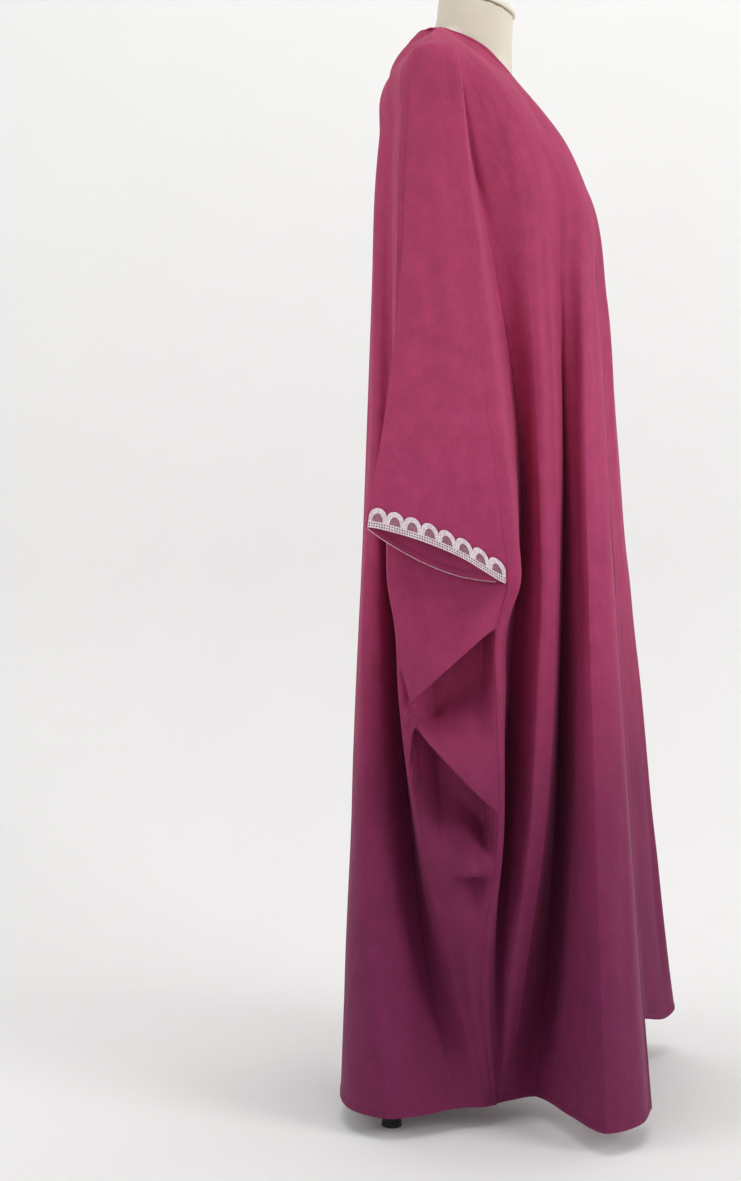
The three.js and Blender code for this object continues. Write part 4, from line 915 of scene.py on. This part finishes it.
def cord_along(name, points, radius, steps=8):
    """A thin tube of cloth along a line of points, in metres."""
    points = np.asarray(points)
    way = np.gradient(points, axis=0)
    way /= np.linalg.norm(way, axis=1, keepdims=True)
    side = np.cross(way, (0.35, 0.9, 0.25))
    side /= np.linalg.norm(side, axis=1, keepdims=True)
    up = np.cross(side, way)
    rings = []
    for p, a, b in zip(points, side, up):
        turns = [2 * math.pi * k / steps for k in range(steps)]
        rings.append([p + radius * (a * math.cos(t) + b * math.sin(t)) for t in turns])
    obj = drawn_up(name, rings)
    co = np.array([tuple(v.co) for v in obj.data.vertices])
    lay_cloth_places(obj, np.stack([co[:, 0] + co[:, 1], co[:, 2]], axis=-1))
    return finished(obj, angle=60)


seams = {}
for side, half in halves.items():
    line = np.concatenate([half["main"][0], half["sleeve"][0, 1:], half["sleeve"][1:, -1]])
    length = run_lengths(line)
    even = read_along(line, length, np.arange(0, length[-1], SEAM_STEP))
    even[:, 2] -= 0.25
    seams[side] = cord_along(f"shoulder_seam_{side}", in_frame(side, even), SEAM_RADIUS / 1000)
    dressed(seams[side], crepe, "crepe")

# Side seams, under the sleeves: the edges of front and back are rolled together inside.
side_seams = {}
for side, half in halves.items():
    count = len(half["sleeve_rows"])
    normal = outward(half["main"])[count - 1:, -1]
    line = half["main"][count - 1:, -1] - normal * SIDE_SEAM_SUNK
    length = run_lengths(line)
    even = read_along(line, length, np.arange(1, length[-1] - 1, SEAM_STEP))
    side_seams[side] = cord_along(f"side_seam_{side}", in_frame(side, even), SEAM_RADIUS / 1000)
    dressed(side_seams[side], crepe, "crepe")

# Stitches. Each hem is turned under and held by a row of lockstitch in a darker thread, 3.2 mm a stitch.

STITCH_PITCH = 3.2
STITCH_LENGTH = 2.5
STITCH_WIDTH = 0.5

# Spun polyester thread: a slight gloss and a darker tone than the cloth. Like the cloth it runs darker towards the hem,
# which is partly dye and partly painted shade for the light falling off lower down.
thread, tree, place = new_material("polyester_thread")
level = put(tree, "ShaderNodeSeparateXYZ", {"Vector": place}).outputs["Z"]
tone = mixed(tree, ranged(tree, level, low=0.3, high=1.0), "#4d1838", "#7d2746")
shown(tree, principled(tree, tone, 0.5, Normal=bumped(tree, noise(tree, place, 900), 0.2, 0.0003)))


def stitched(name, runs):
    """Small lozenge stitches along runs of (points, normals) in the frame, in metres."""
    points, faces = [], []
    for line, normal in runs:
        length = run_lengths(line)
        for at in np.arange(STITCH_PITCH, length[-1] * 1000 - STITCH_PITCH, STITCH_PITCH) / 1000:
            ends = read_along(line, length, np.array([at, at + STITCH_LENGTH / 1000]))
            out = read_along(normal, length, at)
            way = ends[1] - ends[0]
            across = np.cross(way, out)
            across *= STITCH_WIDTH / 2000 / (np.linalg.norm(across) + 1e-12)
            middle = (ends[0] + ends[1]) / 2
            base = len(points)
            top = out * STITCH_WIDTH / 1700
            points += [ends[0], middle + across, middle + top, middle - across, middle - top * 0.6, ends[1]]
            for a, b in ((1, 2), (2, 3), (3, 4), (4, 1)):
                faces += [(base, base + a, base + b), (base + 5, base + b, base + a)]
    return finished(faced_out(from_faces(name, points, faces)), angle=60)


def line_on(side, grid, rows=None, column=None, lift=1.0):
    """A line of the grid, raised off its outer face, and its normals, in the frame."""
    normal = outward(grid)
    if column is None:
        line, out = grid[rows], normal[rows]
    else:
        line, out = grid[:, column], normal[:, column]
    sign = 1 if side == "left" else -1
    return in_frame(side, line + out * lift), np.stack([sign * out[:, 0], -out[:, 1], out[:, 2]], axis=-1)


stitches = {}
face = CLOTH_THICK + 0.05
for side, half in halves.items():
    runs = [line_on(side, half["main"], rows=-3, lift=face), line_on(side, half["main"], column=2, lift=face)]
    stitches["front_" + side] = stitched(f"front_stitches_{side}", runs)
runs = []
for side, half in halves.items():
    runs.append(line_on(side, half["back"], rows=-3, lift=face))
    line, normal = line_on(side, half["back"], rows=2, lift=face)
    free = int(np.sum(half["back"][0, :, 0] > 66))
    runs.append((line[free:], normal[free:]))
stitches["back"] = stitched("back_stitches", runs)
for obj in stitches.values():
    dressed(obj, thread, "crepe")

# Lace. White cotton guipure edging, 24.5 mm high: a band with two rows of eyelets and a row of arches, each over a
# small window of net. It is sewn to the outside of the cuff with its straight edge down.

SCALLOPS = 8
LACE_BAND = 7.2
LACE_RISE = 24.5
LACE_NOTCH = 14
LACE_WINDOW_HALF = 0.31          # of a scallop's width
LACE_WINDOW_TOP = 18.2
LACE_ROWS = (-1.0, -0.1, 3.2, 6.5, LACE_BAND)   # edges of the band's rows; the lowest is under the cuff's edge
EYE_SIZE = 0.62                  # of the cell round an eyelet
EYE_RAISED, CORD_RAISED, RIPPLE = 0.12, 0.3, 0.12
ARCH_STEPS, ARCH_RINGS = 20, 4
LACE_THICK = 0.8
LACE_LIFT = 2.15
LACE_START = {"front": 0.02, "back": 0.08}
LACE_END = 0.985
EYELETS = 7                      # in each row of a scallop
NET_PITCH = 1.9
NET_THREAD = 0.2
NET_THICK = 0.25

# Mercerised cotton: a bright white, fuzzy at thread size, with a little pink painted in as reflected light from the
# cloth round it, and mauve painted shade in the gaps between the loops.
cotton, tree, place = new_material("cotton_guipure")
twist = noise(tree, place, 700, 3)
cords = put(tree, "ShaderNodeTexVoronoi", {"Vector": place, "Scale": 900}).outputs["Distance"]
# Mauve painted shade in the gaps between the thread loops, mixed in by this pattern's distance.
loops = put(tree, "ShaderNodeTexVoronoi", {"Vector": place, "Scale": 330, "Randomness": 0.55}).outputs["Distance"]
tone = mixed(tree, ranged(tree, loops, 0.0, 0.4, 0.3, 0.62), mixed(tree, twist, "#e3d3dd", "#faf2f6"), "#b98fa4")
shown(tree, principled(tree, tone, 0.7, Normal=bumped(tree, added(tree, twist, cords), 0.4, 0.0005),
                       **{"Sheen Weight": 0.15, "Sheen Roughness": 0.4}))


def cuff_surface(grid, flip):
    """A function from millimetres along the cuff and up from its edge to a point and normal of the sleeve."""
    grid = grid[:, ::-1] if flip else grid
    normal = outward(grid) * (-1 if flip else 1)
    rise = grid[::-1][:16]
    out = normal[::-1][:16]
    along = row_lengths(rise)[0]
    up = column_lengths(rise)

    def at(x, t):
        c = int(np.clip(np.searchsorted(along, x) - 1, 0, len(along) - 2))
        w = (x - along[c]) / (along[c + 1] - along[c])
        ends = []
        for k in (c, c + 1):
            r = int(np.clip(np.searchsorted(up[:, k], t) - 1, 0, len(up) - 2))
            h = (t - up[r, k]) / (up[r + 1, k] - up[r, k])
            ends.append((rise[r, k] * (1 - h) + rise[r + 1, k] * h, out[r, k] * (1 - h) + out[r + 1, k] * h))
        point = ends[0][0] * (1 - w) + ends[1][0] * w
        n = ends[0][1] * (1 - w) + ends[1][1] * w
        return point, n / np.linalg.norm(n)

    return at, along[-1]


def lace_strip(name, side, part, grid):
    surface, total = cuff_surface(grid, part == "back")
    start, end = total * LACE_START[part], total * LACE_END
    pitch = (end - start) / SCALLOPS
    points, faces, seen = [], [], {}

    def dot(x, t, raised=0.0):
        key = (round(x, 3), round(t, 3), round(raised, 2))
        if key not in seen:
            point, n = surface(start + x, t)
            seen[key] = len(points)
            points.append(in_frame(side, point + n * (LACE_LIFT + raised)))
        return seen[key]

    for k in range(SCALLOPS):
        left = k * pitch
        # Band: a lower cord, two rows of cells with an eyelet in each, an upper cord.
        cell = pitch / EYELETS
        for j in range(EYELETS):
            x0 = left + j * cell
            for t0, t1 in (LACE_ROWS[0:2], LACE_ROWS[3:5]):
                for xa, xb in ((x0, x0 + cell / 2), (x0 + cell / 2, x0 + cell)):
                    faces.append((dot(xa, t0), dot(xb, t0), dot(xb, t1), dot(xa, t1)))
            for t0, t1 in (LACE_ROWS[1:3], LACE_ROWS[2:4]):
                cx, ct = x0 + cell / 2, (t0 + t1) / 2
                hx, ht = cell / 2, (t1 - t0) / 2
                ring, eye = [], []
                for m in range(8):
                    a = math.pi / 4 * m
                    c, s = math.cos(a), math.sin(a)
                    big = max(abs(c), abs(s))
                    ring.append(dot(cx + hx * c / big, ct + ht * s / big))
                    eye.append(dot(cx + EYE_SIZE * hx * c, ct + EYE_SIZE * ht * s, EYE_RAISED))
                for m in range(8):
                    n = (m + 1) % 8
                    faces.append((eye[m], ring[m], ring[n], eye[n]))
        # Arch: a corded ring round the window, and the web between it and its neighbours.
        middle = left + pitch / 2
        rings = []
        for q in range(ARCH_RINGS + 1):
            share = q / ARCH_RINGS
            raised = CORD_RAISED if q in (1, ARCH_RINGS - 1) else 0.0
            row = []
            for j in range(ARCH_STEPS + 1):
                a = math.pi * (1 - j / ARCH_STEPS)
                inner = (LACE_WINDOW_HALF * pitch * math.cos(a),
                         LACE_BAND + (LACE_WINDOW_TOP - LACE_BAND) * math.sin(a))
                outer = (0.5 * pitch * math.cos(a), LACE_NOTCH + (LACE_RISE - LACE_NOTCH) * math.sin(a))
                x, t = [i + (o - i) * share for i, o in zip(inner, outer)]
                ripple = RIPPLE if j % 2 else 0.0
                row.append(dot(middle + x, t, raised + ripple if 0 < q < ARCH_RINGS else 0.0))
            rings.append(row)
        for a, b in zip(rings, rings[1:]):
            for j in range(ARCH_STEPS):
                faces.append((a[j], a[j + 1], b[j + 1], b[j]))
        for x, row, order in ((left, [r[0] for r in rings], 1), (left + pitch, [r[-1] for r in rings], -1)):
            fan = [dot(x, LACE_BAND), *row]
            for a, b in zip(fan[1:], fan[2:]):
                faces.append((fan[0], a, b) if order > 0 else (fan[0], b, a))
    lace = faced_out(from_faces(name, points, faces))
    finished(lace, ("SOLIDIFY", dict(thickness=LACE_THICK / 1000, offset=0)), angle=45)

    # Net in each window: threads on two slants, clipped to the window.
    points, faces = [], []
    for k in range(SCALLOPS):
        middle = (k + 0.5) * pitch
        half, tall = LACE_WINDOW_HALF * pitch + 0.5, LACE_WINDOW_TOP - LACE_BAND + 0.5
        for slant in (1, -1):
            for off in np.arange(-half - tall, half + tall, NET_PITCH * math.sqrt(2)):
                t = np.linspace(0, tall, 60)
                x = off + slant * t
                inside = (x / half) ** 2 + (t / tall) ** 2 <= 1
                if inside.sum() < 3:
                    continue
                t, x = t[inside], x[inside]
                ends = np.linspace(0, len(t) - 1, 4).astype(int)
                level = 0.1 * slant
                strip = []
                for i in ends:
                    for shift in (-NET_THREAD / 1.4, NET_THREAD / 1.4):
                        point, n = surface(start + middle + x[i] + shift, LACE_BAND + t[i])
                        strip.append(len(points))
                        points.append(in_frame(side, point + n * (LACE_LIFT + level - 0.1)))
                for i in range(len(ends) - 1):
                    faces.append((strip[2 * i], strip[2 * i + 1], strip[2 * i + 3], strip[2 * i + 2]))
    net = from_faces(name + "_net", points, faces)
    finished(net, ("SOLIDIFY", dict(thickness=NET_THICK / 1000, offset=0)), angle=45)
    return lace, net


for side, half in halves.items():
    for part, grid in (("front", half["sleeve"]), ("back", half["inner"])):
        strip, net = lace_strip(f"lace_{part}_edging_{side}", side, part, grid)
        dressed(strip, cotton, "lace", f"lace_{part}_{side}")
        dressed(net, cotton, "lace")

# Studio. A pale paper sweep behind and under the form, soft lamps, and the camera at the photograph's place.

bpy.ops.object.select_all(action="DESELECT")
bpy.ops.mesh.primitive_plane_add(size=1, location=(0, 0, 0))
sweep = bpy.context.object
sweep.name = "paper_sweep"
mesh = bmesh.new()
profile = [(-6.0, 0.0), (0.55, 0.0)]
profile += [(0.55 + 0.75 * math.sin(a), 0.75 - 0.75 * math.cos(a)) for a in np.linspace(0, math.pi / 2, 24)[1:]]
profile += [(1.3, 7.0)]
for y in (-9.0, 9.0):
    for x, z in profile:
        mesh.verts.new((x, y, z))
mesh.verts.ensure_lookup_table()
count = len(profile)
for i in range(count - 1):
    mesh.faces.new([mesh.verts[k] for k in (i, i + 1, count + i + 1, count + i)])
mesh.to_mesh(sweep.data)
mesh.free()
finished(sweep, angle=60)

# Background paper: matte, near white, with a faint tooth. Its rear face is clear, so that the garment's left side
# can be seen through the upright part of the sweep.
paper, tree, place = new_material("background_paper")
face = principled(tree, mixed(tree, noise(tree, place, 5), "#f2f2f1", "#f5f5f4"), 0.9)
rear = put(tree, "ShaderNodeNewGeometry").outputs["Backfacing"]
one_sided = put(tree, "ShaderNodeMixShader", {"Fac": rear})
tree.links.new(face, one_sided.inputs[1])
tree.links.new(put(tree, "ShaderNodeBsdfTransparent").outputs["BSDF"], one_sided.inputs[2])
shown(tree, one_sided.outputs["Shader"])
sweep.data.materials.append(paper)


def lamp(name, place, target, size, power, colour="#ffffff"):
    light = bpy.data.lights.new(name, "AREA")
    light.shape, light.size, light.energy = "SQUARE", size, power
    light.color = linear(colour)[:3]
    obj = bpy.data.objects.new(name, light)
    obj.location = place
    obj.rotation_euler = (Vector(target) - Vector(place)).to_track_quat("-Z", "Y").to_euler()
    bpy.context.collection.objects.link(obj)


lamp("key_softbox", (-1.9, -3.8, 2.5), (0, 0, 0.75), 2.0, 76)
lamp("fill_softbox", (-2.2, 3.3, 2.3), (0, 0, 0.75), 2.0, 38)
lamp("paper_lamp", (-0.4, 0.0, 4.2), (1.2, 0, 0.6), 2.4, 42)

world = bpy.data.worlds.new("studio_air")
bpy.context.scene.world = world
world.use_nodes = True
world.node_tree.nodes["Background"].inputs["Color"].default_value = linear("#ffffff")
world.node_tree.nodes["Background"].inputs["Strength"].default_value = 0.42

# The camera stands at the wearer's right, a little in front, level with the hip, with a 53 mm lens on a 36 mm frame.
CAMERA_PLACE = (-2.41424, -0.09317, 0.694)
CAMERA_TURN = 7
camera = bpy.data.objects.new("camera", bpy.data.cameras.new("camera"))
bpy.context.collection.objects.link(camera)
camera.location = CAMERA_PLACE
aim = Vector((math.cos(math.radians(CAMERA_TURN)), math.sin(math.radians(CAMERA_TURN)), 0))
camera.rotation_euler = aim.to_track_quat("-Z", "Y").to_euler()
camera.data.lens = 52.9
camera.data.sensor_fit = "VERTICAL"
camera.data.sensor_height = 36
camera.data.clip_end = 50
bpy.context.scene.camera = camera
bpy.context.scene.view_settings.view_transform = "Standard"
